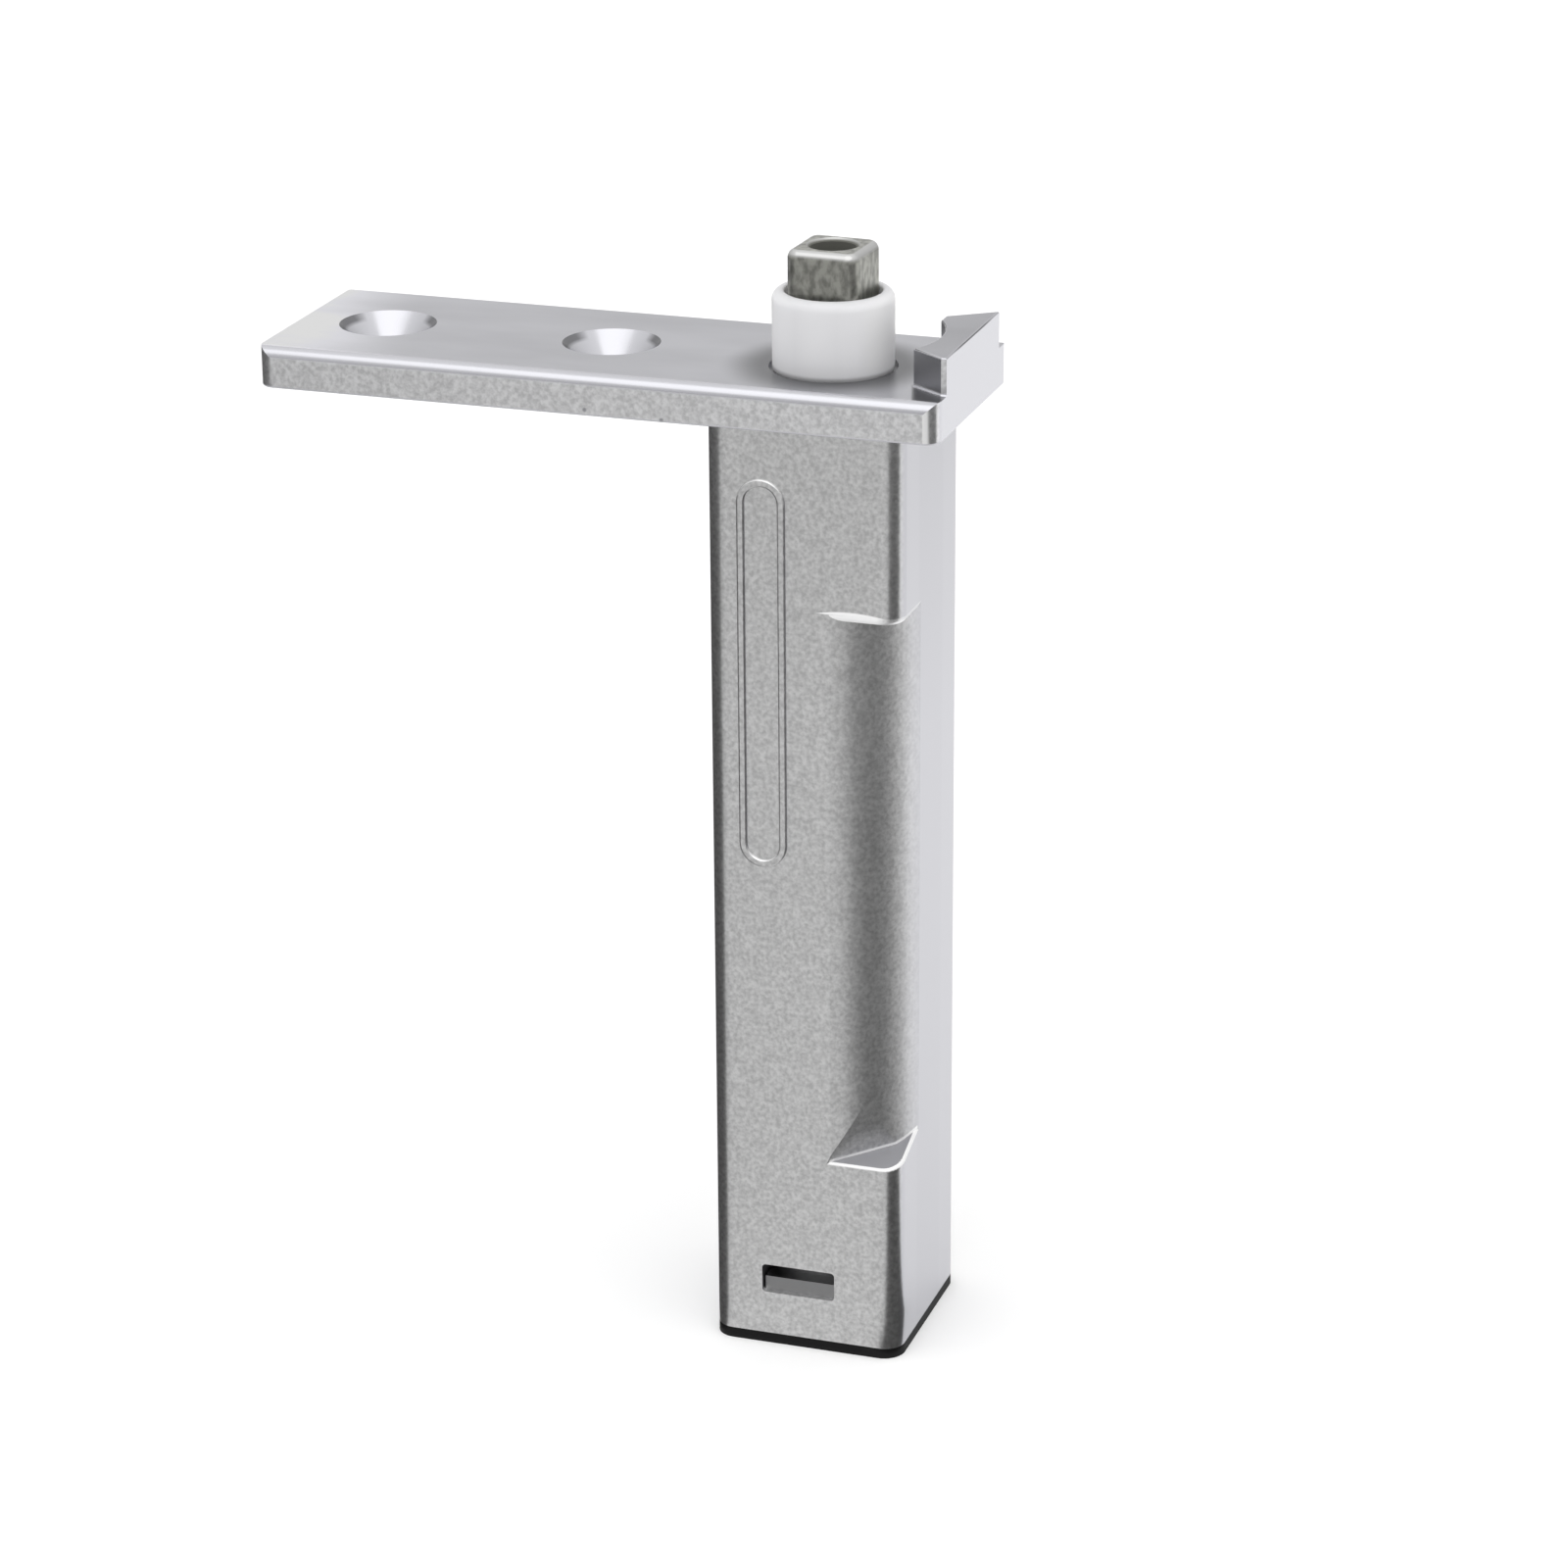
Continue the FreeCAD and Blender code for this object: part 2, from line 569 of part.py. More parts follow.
def cartridge_housing():
    """Square zinc casting with a round bore, a staked spigot, a relieved corner and retainer windows."""
    column = square_block("column", f"{BODY_FOOT} + {CUT_OVERRUN}", f"{BODY_TOP} - {CUT_OVERRUN}")
    column = cut("relieved_column", column, corner_relief())
    upper = square_block("upper_block", RELIEF_TOP, BODY_TOP)
    upper = rounded("upper_lip", upper, "lip_round", at_level(RELIEF_TOP))
    lower = sloped_ledge()
    rim_foot = f"({SPIGOT_TOP} - stake_flare)"
    spigot = cylinder("spigot", SPIGOT, BODY_TOP, rim_foot)
    rim = doc.addObject("Part::Cone", "staked_rim")
    bind(rim, "Radius1", SPIGOT)
    bind(rim, "Radius2", f"{SPIGOT} + stake_flare")
    bind(rim, "Height", "stake_flare")
    place(rim, z=rim_foot)
    metal = fuse("casting", [column, upper, lower, spigot, rim, name_panel()])

    below = f"{BODY_FOOT} - {CUT_OVERRUN}"
    window = box(
        "window_block",
        ("-window_middle - window_width / 2", "-body_depth", KEY_FOOT),
        ("-window_middle + window_width / 2", "body_depth", f"{KEY_FOOT} + window_height"),
    )
    along_y = lambda edge: abs(edge.BoundBox.YLength - edge.Length) < NEAR
    grooves = box(
        "groove_block",
        (f"-{GROOVE_RADIUS}", f"-{GROOVE_WIDTH} / 2", below),
        (GROOVE_RADIUS, f"{GROOVE_WIDTH} / 2", f"{BORE_TOP} - groove_start"),
    )
    groove_core = cylinder("groove_core", "bore_radius / 2", below, f"{BORE_TOP} - groove_start")
    hollows = [
        cylinder("spring_bore", "bore_radius", below, BORE_TOP),
        cylinder("bearing_bore", BEARING, BORE_TOP, f"{BODY_TOP} - neck_web"),
        cylinder("spigot_bore", NECK, BORE_TOP, f"{CUT_OVERRUN}"),
        rounded("window", window, "window_corner", along_y),
        turn_about_z(fuse("grooves", [grooves, groove_core]), GROOVE_TURN),
    ]
    for x, y in DOWEL_PLACES:
        hollows.append(cylinder("dowel_hole", "dowel_diameter / 2", f"{BODY_TOP} - dowel_reach", BODY_TOP, x, y))
    return cut("cartridge_housing", metal, fuse("hollows", hollows))


def pivot_bush():
    """White nylon sleeve that stands on the plate around the spindle."""
    body = new_body("pivot_bush")
    section = [(NECK, "-bush_seat"), (BUSH, "-bush_seat"), (BUSH, "bush_rise"), (NECK, "bush_rise")]
    feature = revolve(body, section)
    feature = dress(body, feature, "Fillet", "bush_round", circle_at(BUSH, "bush_rise"))
    feature = dress(body, feature, "Fillet", "bush_lip", circle_at(NECK, "bush_rise"))
    dress(body, feature, "Fillet", "bush_seat", circle_at(BUSH, "-bush_seat"))
    return body


def neck_bearing():
    """Flanged bronze bearing pressed up into the neck of the cartridge."""
    body = new_body("neck_bearing")
    top = f"{BODY_TOP} - neck_web"
    revolve(body, [
        (NECK, WASHER_TOP),
        ("bearing_spread", WASHER_TOP),
        ("bearing_spread", BORE_TOP),
        (BEARING, BORE_TOP),
        (BEARING, top),
        (NECK, top),
    ])
    return body


def thrust_washer():
    """Hard washer between the bearing's flange and the spindle's collar."""
    body = new_body("thrust_washer")
    foot = f"{WASHER_TOP} - washer_thickness"
    revolve(body, [(NECK, foot), ("washer_radius", foot), ("washer_radius", WASHER_TOP), (NECK, WASHER_TOP)])
    return body


def spindle():
    """Steel spindle: drive square with a blind hole, journal, thrust collar and lower shaft."""
    body = new_body("spindle")
    corners = rectangle("pin_square / 2", "pin_square / 2")
    square = outline(body, "XY_Plane", corners, "square_base", "pin_rest_turn")
    feature = pad(body, square, "pin_rise - square_base")
    feature = dress(body, feature, "Fillet", "pin_corner", upright)
    dress(body, feature, "Fillet", "pin_edge", at_level("pin_rise"))
    half_groove = "(seal_section + seal_room) / 2"
    revolve(body, [
        ("0", "square_base"),
        (JOURNAL, "square_base"),
        (JOURNAL, f"-seal_level + {half_groove}"),
        (SEAL_FLOOR, f"-seal_level + {half_groove}"),
        (SEAL_FLOOR, f"-seal_level - {half_groove}"),
        (JOURNAL, f"-seal_level - {half_groove}"),
        (JOURNAL, COLLAR_TOP),
        (TURNING, COLLAR_TOP),
        (TURNING, COLLAR_FOOT),
        ("shaft_radius", COLLAR_FOOT),
        ("shaft_radius", SHAFT_FOOT),
        ("0", SHAFT_FOOT),
    ])
    feature = pocket(body, ring_sketch(body, "XY_Plane", "stud_hole / 2", level="pin_rise"), "stud_depth")
    dress(body, feature, "Chamfer", "stud_mouth", circle_at("stud_hole / 2", "pin_rise"))
    hole = ring_sketch(body, "XZ_Plane", "cam_pin_diameter / 2", "0", CAM_PIN_LEVEL, "shaft_radius")
    pocket(body, hole, "2 * shaft_radius")
    return body


def seal_ring():
    """Rubber ring in the groove of the journal that keeps grease in and water out."""
    ring = doc.addObject("Part::Torus", "seal_ring")
    bind(ring, "Radius1", f"{SEAL_OUTER} - seal_section / 2")
    bind(ring, "Radius2", "seal_section / 2")
    return place(ring, z="-seal_level")


def ramps(name, upward, length, turn, level):
    """Two helical ramps, each half a turn, as solids that reach up or down from the ramp surface."""
    lobes = []
    for start in (0, HALF_TURN):
        edges = []
        for radius in ("shaft_radius / 2", "bore_radius * 1.5"):
            helix = doc.addObject("Part::Helix", f"{name}_edge")
            bind(helix, "Pitch", "cam_lead")
            bind(helix, "Height", RAMP_HEIGHT)
            bind(helix, "Radius", radius)
            edges.append(helix)
        surface = doc.addObject("Part::RuledSurface", f"{name}_surface")
        surface.Curve1 = (edges[0], ["Edge1"])
        surface.Curve2 = (edges[1], ["Edge1"])
        surface.Orientation = "Forward"
        lobe = doc.addObject("Part::Extrusion", f"{name}_lobe")
        lobe.Base = surface
        lobe.DirMode = "Custom"
        lobe.Dir = FreeCAD.Vector(0, 0, 1 if upward else -1)
        lobe.Solid = True
        bind(lobe, "LengthFwd", length)
        turn_about_z(lobe, start)
        lobes.append(lobe)
    both = fuse(name, lobes)
    bind(both, "Placement.Rotation.Angle", turn)
    return place(both, z=level)


def tube(name, outer, inner, foot, top):
    """A plain tube between two levels."""
    hole = cylinder(f"{name}_hole", inner, f"{foot} - {CUT_OVERRUN}", f"{top} + {CUT_OVERRUN}")
    return cut(name, cylinder(f"{name}_outer", outer, foot, top), hole)


def drive_cam():
    """Upper cam, pinned on the spindle, with two helical ramps on its underside."""
    blank = tube("drive_blank", TURNING, "shaft_radius", RAMP_FOOT, COLLAR_FOOT)
    teeth = ramps("drive_ramps", True, f"cam_hub + {RAMP_HEIGHT}", "0", RAMP_FOOT)
    cam = common("drive_form", blank, teeth)
    hole = cross_cylinder("drive_pin_hole", "cam_pin_diameter / 2", "bore_radius", CAM_PIN_LEVEL, 90.0)
    return cut("drive_cam", cam, hole)


def cam_pin():
    """Dowel through the drive cam and the spindle."""
    return cross_cylinder("cam_pin", "cam_pin_diameter / 2", f"{TURNING} - cam_pin_short", CAM_PIN_LEVEL, 90.0)


def follower_cam():
    """Lower cam that slides in the bore, with ramps that match the drive cam's and a hole for the guide pin."""
    top = f"({RAMP_FOOT} + {RAMP_HEIGHT})"
    blank = tube("follower_blank", FOLLOWER, FOLLOWER_BORE, FOLLOWER_FOOT, top)
    backlash = "(cam_lead * cam_backlash / 360)"
    level = f"{RAMP_FOOT} - cam_gap - {backlash}"
    teeth = ramps("follower_ramps", False, f"follower_base + {RAMP_HEIGHT}", "-cam_backlash", level)
    cam = common("follower_form", blank, teeth)
    hole = cross_cylinder("guide_hole", "guide_diameter / 2", "bore_radius * 1.5", GUIDE_LEVEL, GROOVE_TURN)
    return cut("follower_cam", cam, hole)


def guide_pin():
    """Pin through the follower whose ends run in the grooves of the bore."""
    reach = f"{GROOVE_RADIUS} - guide_short"
    return cross_cylinder("guide_pin", "guide_diameter / 2", reach, GUIDE_LEVEL, GROOVE_TURN)


def upper_spring_seat():
    """Pressed steel ring under the follower with a pilot inside the spring."""
    body = new_body("upper_spring_seat")
    inner = f"{PILOT} - seat_wall"
    pilot_foot = f"{SPRING_TOP} - seat_pilot"
    revolve(body, [
        (inner, pilot_foot),
        (PILOT, pilot_foot),
        (PILOT, SPRING_TOP),
        (SPRING_OUTER, SPRING_TOP),
        (SPRING_OUTER, FOLLOWER_FOOT),
        (inner, FOLLOWER_FOOT),
    ])
    return body


def closing_spring():
    """Compression spring with one closed and ground coil at each end, swept along a smooth path."""
    length = number(f"{SPRING_TOP} - {SPRING_FOOT}")
    wire = number("spring_wire")
    radius = number(f"{SPRING_OUTER} - spring_wire / 2")
    coils = number("spring_coils") + 2
    closed_pitch = number("spring_closed_pitch") * wire
    end_height = (0.5 - number("spring_grinding")) * wire
    closed_coils = number("spring_closed_coils")
    count = int(round(coils * STEPS_PER_COIL))

    def opening(turn):
        """How open the coils are at a turn: 0 in the closed end coils and 1 in between."""
        run = min(turn, coils - turn)
        share = min(max((run - closed_coils) / number("spring_opening"), 0.0), 1.0)
        return share * share * (3 - 2 * share)

    weights = [opening((step + 0.5) * coils / count) for step in range(count)]
    spare = length - 2 * end_height - closed_pitch * coils
    height = end_height
    points = [FreeCAD.Vector(radius, 0, height)]
    for step, weight in enumerate(weights, start=1):
        height += closed_pitch * coils / count + spare * weight / sum(weights)
        angle = 2 * math.pi * coils * step / count
        points.append(FreeCAD.Vector(radius * math.cos(angle), radius * math.sin(angle), height))
    path = Part.BSplineCurve()
    path.interpolate(points)
    edge = path.toShape()
    section = Part.Circle(points[0], edge.tangentAt(edge.FirstParameter), wire / 2)
    coil = Part.Wire([edge]).makePipeShell([Part.Wire([section.toShape()])], True, True)
    ground = Part.makeCylinder(radius + wire, length)
    spring = doc.addObject("Part::Feature", "closing_spring")
    spring.Shape = coil.common(ground).Solids[0]
    return place(spring, z=SPRING_FOOT)


def lower_spring_seat():
    """Turned steel disc with a pilot that carries the foot of the spring."""
    body = new_body("lower_spring_seat")
    rim = "bore_radius - anchor_gap"
    pilot_top = f"{SPRING_FOOT} + anchor_pilot"
    revolve(body, [
        ("0", ANCHOR_FOOT),
        (rim, ANCHOR_FOOT),
        (rim, SPRING_FOOT),
        (PILOT, SPRING_FOOT),
        (PILOT, pilot_top),
        ("0", pilot_top),
    ])
    return body


def retainer_key():
    """Flat steel key through both windows that holds the lower seat against the spring."""
    half = "(window_width / 2 - key_gap)"
    reach = "(body_depth / 2 - key_recess)"
    return box(
        "retainer_key",
        (f"-window_middle - {half}", f"-{reach}", KEY_FOOT),
        (f"-window_middle + {half}", reach, ANCHOR_FOOT),
    )


def end_cap():
    """Black plastic cap with a hollow plug and two tongues that fit the guide grooves."""
    body = new_body("end_cap")
    half_width, half_depth = "body_width / 2", "body_depth / 2"
    corners = rectangle(half_width, half_depth)
    feature = pad(body, outline(body, "XY_Plane", corners, f"{BODY_FOOT} - cap_flange"), "cap_flange")
    under_relief = lambda edge: upright(edge) and edge.Vertexes[0].X > 0 and edge.Vertexes[0].Y < 0
    feature = dress(body, feature, "Fillet", "cap_corner", under_relief)
    full_corner = number("body_width / 2 + body_depth / 2")
    sharp = lambda edge: upright(edge) and abs(edge.Vertexes[0].X) + abs(edge.Vertexes[0].Y) > full_corner - NEAR
    dress(body, feature, "Fillet", "body_corner", sharp)
    pad(body, ring_sketch(body, "XY_Plane", "bore_radius - cap_gap", level=BODY_FOOT), "cap_plug")
    tongue = rectangle(f"{GROOVE_RADIUS} - 2 * cap_gap", f"{GROOVE_WIDTH} / 2 - cap_gap")
    pad(body, outline(body, "XY_Plane", tongue, BODY_FOOT, str(GROOVE_TURN)), "cap_plug")
    hollow = ring_sketch(body, "XY_Plane", "bore_radius - cap_gap - cap_wall", level=f"{BODY_FOOT} + cap_plug")
    pocket(body, hollow, "cap_plug")
    return body


PIECES = [
    mounting_plate(),
    cartridge_housing(),
    locating_dowels(),
    pivot_bush(),
    neck_bearing(),
    thrust_washer(),
    spindle(),
    seal_ring(),
    drive_cam(),
    cam_pin(),
    follower_cam(),
    guide_pin(),
    upper_spring_seat(),
    closing_spring(),
    lower_spring_seat(),
    retainer_key(),
    end_cap(),
]
doc.recompute()

for item in doc.Objects:
    if "Invalid" in item.State or "Error" in item.State:
        raise RuntimeError(f"{item.Name} ({item.Label}) did not compute: {item.State}")
for piece in PIECES:
    if piece.Shape.isNull() or not piece.Shape.isValid():
        raise RuntimeError(f"{piece.Label} has no valid shape")

os.makedirs("parts", exist_ok=True)
for piece in PIECES:
    piece.Shape.exportStep(f"parts/{piece.Label}.step")
    print(piece.Label, len(piece.Shape.Solids), "solid", round(piece.Shape.Volume, 1), "mm3")
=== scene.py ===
import math

import bmesh
import bpy
from mathutils import Matrix, Vector


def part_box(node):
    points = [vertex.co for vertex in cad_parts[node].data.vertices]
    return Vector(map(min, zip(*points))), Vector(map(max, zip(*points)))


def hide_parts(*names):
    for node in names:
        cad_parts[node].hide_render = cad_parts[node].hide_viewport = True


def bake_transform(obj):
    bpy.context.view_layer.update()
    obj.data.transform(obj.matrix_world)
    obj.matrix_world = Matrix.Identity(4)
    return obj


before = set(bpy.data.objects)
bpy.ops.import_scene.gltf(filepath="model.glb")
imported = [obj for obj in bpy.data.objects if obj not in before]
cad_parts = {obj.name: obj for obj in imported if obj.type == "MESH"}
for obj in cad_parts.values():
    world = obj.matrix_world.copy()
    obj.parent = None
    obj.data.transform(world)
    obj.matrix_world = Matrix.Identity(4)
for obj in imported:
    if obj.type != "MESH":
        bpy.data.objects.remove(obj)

bl_info = {
    "name": "Pivot Hinge",
    "version": (1, 0, 0),
    "blender": (4, 5, 0),
    "location": "3D View > Sidebar > Hinge",
    "description": "Finishes a self-closing pivot hinge and sets it on a studio stage",
    "category": "Object",
}

MM = 0.001
WHITE = (1.0, 1.0, 1.0, 1.0)


def linear(hex_colour):
    """An sRGB hex colour as a linear RGBA value."""
    channels = [int(hex_colour[start:start + 2], 16) / 255 for start in (1, 3, 5)]
    curve = [c / 12.92 if c <= 0.04045 else ((c + 0.055) / 1.055) ** 2.4 for c in channels]
    return (*curve, 1.0)


# Settings that a user would change

def colour(label, text, hex_colour):
    """A colour property with its default given in sRGB."""
    return bpy.props.FloatVectorProperty(
        name=label, description=text, subtype="COLOR", size=4, min=0.0, max=1.0, default=linear(hex_colour)
    )


class HingeFinish(bpy.types.PropertyGroup):
    """Colours and grain size of the hinge's surfaces."""
    zinc_blasted: colour("Blasted zinc", "Front of the casting", "#DDDDDD")
    zinc_smooth: colour("Smooth zinc", "Sides of the casting", "#C4C4C9")
    # Worn edges, painted brighter as a highlight
    zinc_worn_highlight: colour("Worn zinc", "Edges of the casting that handling has polished", "#F4F4F4")
    steel_sawn: colour("Sawn steel", "Tumbled front and back edge of the plate", "#E4E4E5")
    steel_rolled: colour("Rolled steel", "Top and underside of the plate", "#D2D2D7")
    steel_ground: colour("Ground steel", "Ends of the plate and the worn edges", "#CECED3")
    spindle_steel: colour("Spindle steel", "Spindle with its drive square", "#95958F")
    # Painted highlight on the drive square's edges
    spindle_edge_highlight: colour("Spindle top", "Painted highlight on the edges of the drive square", "#CFCFCE")
    turned_steel: colour("Turned steel", "Key and seats", "#949495")
    hard_steel: colour("Hardened steel", "Cams, dowels and washer", "#7F8084")
    spring_steel: colour("Spring steel", "Wire of the closing spring", "#55565A")
    bronze: colour("Bronze", "Neck bearing", "#8E6B3E")
    white_nylon: colour("White nylon", "Pivot bush", "#FAFAFC")
    black_nylon: colour("Black nylon", "End cap", "#0D0D0E")
    black_rubber: colour("Black rubber", "Seal ring", "#141414")
    grain: bpy.props.FloatProperty(
        name="Grain", description="Size of the blasted grain", unit="LENGTH", default=0.55 * MM, min=0.0,
        precision=5,
    )


class HingeStage(bpy.types.PropertyGroup):
    """Camera, lamp, studio and floor."""
    camera_place: bpy.props.FloatVectorProperty(
        name="Camera", description="Place of the camera", subtype="XYZ", unit="LENGTH", size=3,
        default=(0.1722, -0.5314, 0.1565),
    )
    camera_down: bpy.props.FloatProperty(
        name="Down", description="How far the camera looks down", subtype="ANGLE", default=math.radians(20.69)
    )
    camera_turn: bpy.props.FloatProperty(
        name="Turn", description="How far the camera turns left", subtype="ANGLE", default=math.radians(18.61)
    )
    camera_roll: bpy.props.FloatProperty(
        name="Roll", description="How far the camera leans", subtype="ANGLE", default=math.radians(-0.39)
    )
    lens: bpy.props.FloatProperty(
        name="Lens", description="Focal length on a 36 mm sensor", subtype="DISTANCE_CAMERA", default=109.0
    )
    floor_size: bpy.props.FloatProperty(
        name="Floor", description="Width of the floor", unit="LENGTH", default=6.0, min=0.0
    )
    lamp_strength: bpy.props.FloatProperty(
        name="Lamp", description="Strength of the broad lamp overhead", default=0.55, min=0.0
    )
    lamp_width: bpy.props.FloatProperty(
        name="Lamp width", description="How broad that lamp looks", subtype="ANGLE",
        default=math.radians(66.0),
    )
    ceiling: bpy.props.FloatProperty(
        name="Ceiling", description="Strength of the studio overhead", default=1.0
    )
    walls: bpy.props.FloatProperty(
        name="Walls", description="Strength of the studio at eye level", default=0.6
    )
    floor_lift: bpy.props.FloatProperty(
        name="Floor lift", description="Lifts the lit floor to white for the eye and the metal", default=0.2
    )


# Wear and painted light and shade, in the hinge's own frame. A pair says where a mark starts and where it
# ends.

# Plate: its left end with a painted highlight, the painted shade in a ring around the bush, the painted
# reflection of the stop's flank on the metal in front of it, the foot and top of the stop, the countersinks
# with painted shade at their rims, and two nicks in the front edge
LIT_END = (-70.0 * MM, -54.0 * MM)
LIT_END_SLANT = 0.3
SHADED_RING = (8.5 * MM, 14.5 * MM)
MIRROR_START = (9.85 * MM, 10.15 * MM)
MIRROR_SIDE = (-5.0 * MM, -6.5 * MM)
MIRROR_TOP = (0.5 * MM, 0.1 * MM)
STOP_FOOT = (0.2 * MM, 0.5 * MM)
STOP_TOP = (4.0 * MM, 4.3 * MM)
SINK_SIDES = (-5.0 * MM, 9.0 * MM)
SINK_RIM = (-1.0 * MM, -0.6 * MM)
NICKS = ((-27.6, -13.0, -4.4), (-17.7, -13.0, -4.9))
NICK_SIZE = (0.15 * MM, 0.35 * MM)

# Cartridge: how far the corner relief reaches from the pivot axis, its sloped ledge with the painted
# highlight line above it, the lip over the relief with its painted highlight, the crescent of painted
# highlight over that lip, and the painted shade on the zinc under the plate
FRONT_FACE = -12.75 * MM
RELIEF_REACH = (13.3 * MM, 13.6 * MM)
LEDGE = (-101.3 * MM, -97.6 * MM)
LEDGE_FOOT = -100.9 * MM
LEDGE_RISE = 0.3153
LEDGE_LINE = (0.3 * MM, 0.5 * MM)
RECESSED = (0.05 * MM, 0.15 * MM)
SIDE_RIM = (12.45 * MM, 12.35 * MM)
LIP = (-28.7 * MM, -27.4 * MM)
LIP_END = (9.5 * MM, 10.5 * MM)
CRESCENT_FOOT = -27.6 * MM
CRESCENT_MIDDLE = 6.2 * MM
CRESCENT_HALF = 4.6 * MM
CRESCENT_RISE = 0.5 * MM
CRESCENT_BLUR = 0.05 * MM
CRESCENT_TIPS = (0.0, 0.05)
SHADE_UNDER_PLATE = (-45.0 * MM, -10.0 * MM)

# Spindle and bush: the drilled hole and the painted shade at the bush's foot
DRILLED = (3.0 * MM, 3.3 * MM)
SHADED_FOOT = (0.0 * MM, 0.6 * MM)

# How far a face is turned along an axis, from 0 to 1, where a look comes in. Where there are two pairs, the
# second says where it fades out again.
UPRIGHT_ROUND = (0.1, 0.95)
ZINC_SIDE = (0.8, 0.98)
ZINC_WORN_HIGHLIGHT = ((0.3, 0.45), (0.995, 0.95))
ZINC_FRONT = (-0.85, -0.95)
LIP_UNDERSIDE = (-0.01, -0.08)
LEDGE_WALL = (0.3, 0.2)
LEDGE_RIM = ((0.2, 0.4), (0.945, 0.9))
LEDGE_SHELF = (0.9, 0.945)
STEEL_FLAT = (0.96, 0.995)
STEEL_END = (0.85, 0.98)
STEEL_WORN = ((0.05, 0.2), (0.995, 0.96))
STEEL_LOW_EDGE = ((-0.05, -0.2), (-0.995, -0.96))
STEEL_UPRIGHT = (0.2, 0.05)
STOP_UPRIGHT = (0.5, 0.3)
STOP_FLANK = (-0.1, -0.3)
GLINT = (0.06, 0.45)
SINK_LEFT = (0.55, 0.66)
SINK_RIGHT = (-0.35, -0.5)
SINK_BACK = (0.0, -0.2)
SQUARE_TOP = (0.15, 0.5)
SQUARE_FLAT = (0.99, 0.93)
SQUARE_FACE = (0.9, 0.99)
BUSH_SIDE = (0.35, 0.95)


# How soft the ends of a band are, how much of the larger scuffs a grain shows, and what part of a pattern's
# range goes from dark to light
BAND_SOFTNESS = 0.15
SCUFF_SHARE = 0.25
GRAIN_SPREAD = (0.36, 0.64)
CLOUD_SPREAD = (0.35, 0.65)
STAIN_SPREAD = (0.38, 0.62)
TOOL_LINES = (0.3, 0.7)

# How tool lines and stains are drawn out along the part
ALONG_PART = (1.0, 1.0, 0.06)
STAIN_STRETCH = (1.0, 1.0, 0.6)
CLOUD_STRETCH = (0.35, 1.0, 1.0)

# How much smoother worn metal is than the grain around it, and how much duller the countersinks are
CORNER_POLISH = 0.1
EDGE_POLISH = 0.18
SINK_DULLING = 0.09


# Node helpers

def add(tree, kind, links=None, **settings):
    """Adds a node with its settings. links gives each input socket a value or an output socket."""
    node = tree.nodes.new(kind)
    for name, value in settings.items():
        setattr(node, name, value)
    for socket, value in (links or {}).items():
        if isinstance(value, bpy.types.NodeSocket):
            tree.links.new(value, node.inputs[socket])
        else:
            node.inputs[socket].default_value = value
    return node


def new_material(name):
    """An empty node material and its tree."""
    material = bpy.data.materials.new(name)
    material.use_nodes = True
    material.node_tree.nodes.clear()
    return material, material.node_tree


def math_node(tree, operation, first, second=0.0):
    """One sum of two values."""
    return add(tree, "ShaderNodeMath", {0: first, 1: second}, operation=operation).outputs[0]


def product(tree, first, *others):
    """Values multiplied."""
    for other in others:
        first = math_node(tree, "MULTIPLY", first, other)
    return first


def highest(tree, first, *others):
    """The largest of some values."""
    for other in others:
        first = math_node(tree, "MAXIMUM", first, other)
    return first


def ramp(tree, value, low, high, start=0.0, end=1.0, smooth=False):
    """Maps low..high to start..end and stops there."""
    return add(
        tree, "ShaderNodeMapRange",
        {"Value": value, "From Min": low, "From Max": high, "To Min": start, "To Max": end},
        interpolation_type="SMOOTHSTEP" if smooth else "LINEAR",
    ).outputs[0]


def level(tree, mask, start, end):
    """start where a mask is 0 and end where it is 1."""
    return ramp(tree, mask, 0.0, 1.0, start, end)


def between(tree, value, comes_in, fades_out):
    """1 where a value is past the first pair and short of the second."""
    return product(tree, ramp(tree, value, *comes_in), ramp(tree, value, *fades_out))


def band(tree, value, low, high):
    """1 between low and high, 0 outside, with a short run-in on both sides."""
    soft = (high - low) * BAND_SOFTNESS
    return between(tree, value, (low - soft, low + soft), (high + soft, high - soft))


def shaded(tone, share):
    """A colour made darker or lighter."""
    return tuple(channel * share for channel in tone)


def blend(tree, factor, first, second):
    """A colour between two."""
    return add(
        tree, "ShaderNodeMix", {"Factor": factor, "A": first, "B": second}, data_type="RGBA"
    ).outputs["Result"]


def multiply(tree, first, second):
    """Two colours multiplied."""
    return add(
        tree, "ShaderNodeMix", {"Factor": 1.0, "A": first, "B": second}, data_type="RGBA",
        blend_type="MULTIPLY",
    ).outputs["Result"]


def mottled(tree, pattern, tone, darkest, lightest, spread):
    """A tone that a pattern mottles between a darker and a lighter share of it."""
    return blend(tree, ramp(tree, pattern, *spread), shaded(tone, darkest), shaded(tone, lightest))


# Patterns and places

def pattern_space(tree):
    """Object coordinates, which are metres in the hinge's own frame."""
    return add(tree, "ShaderNodeTexCoord").outputs["Object"]


def along_axes(tree, vector):
    """A vector's X, Y and Z."""
    return add(tree, "ShaderNodeSeparateXYZ", {0: vector}).outputs


def facing(tree):
    """How far a surface faces along each axis."""
    return along_axes(tree, add(tree, "ShaderNodeNewGeometry").outputs["Normal"])


def off_axis(tree, space):
    """How far a point lies from the pivot axis."""
    away = add(
        tree, "ShaderNodeVectorMath", {0: space, 1: (1.0, 1.0, 0.0)}, operation="MULTIPLY"
    ).outputs["Vector"]
    return add(tree, "ShaderNodeVectorMath", {0: away}, operation="LENGTH").outputs["Value"]


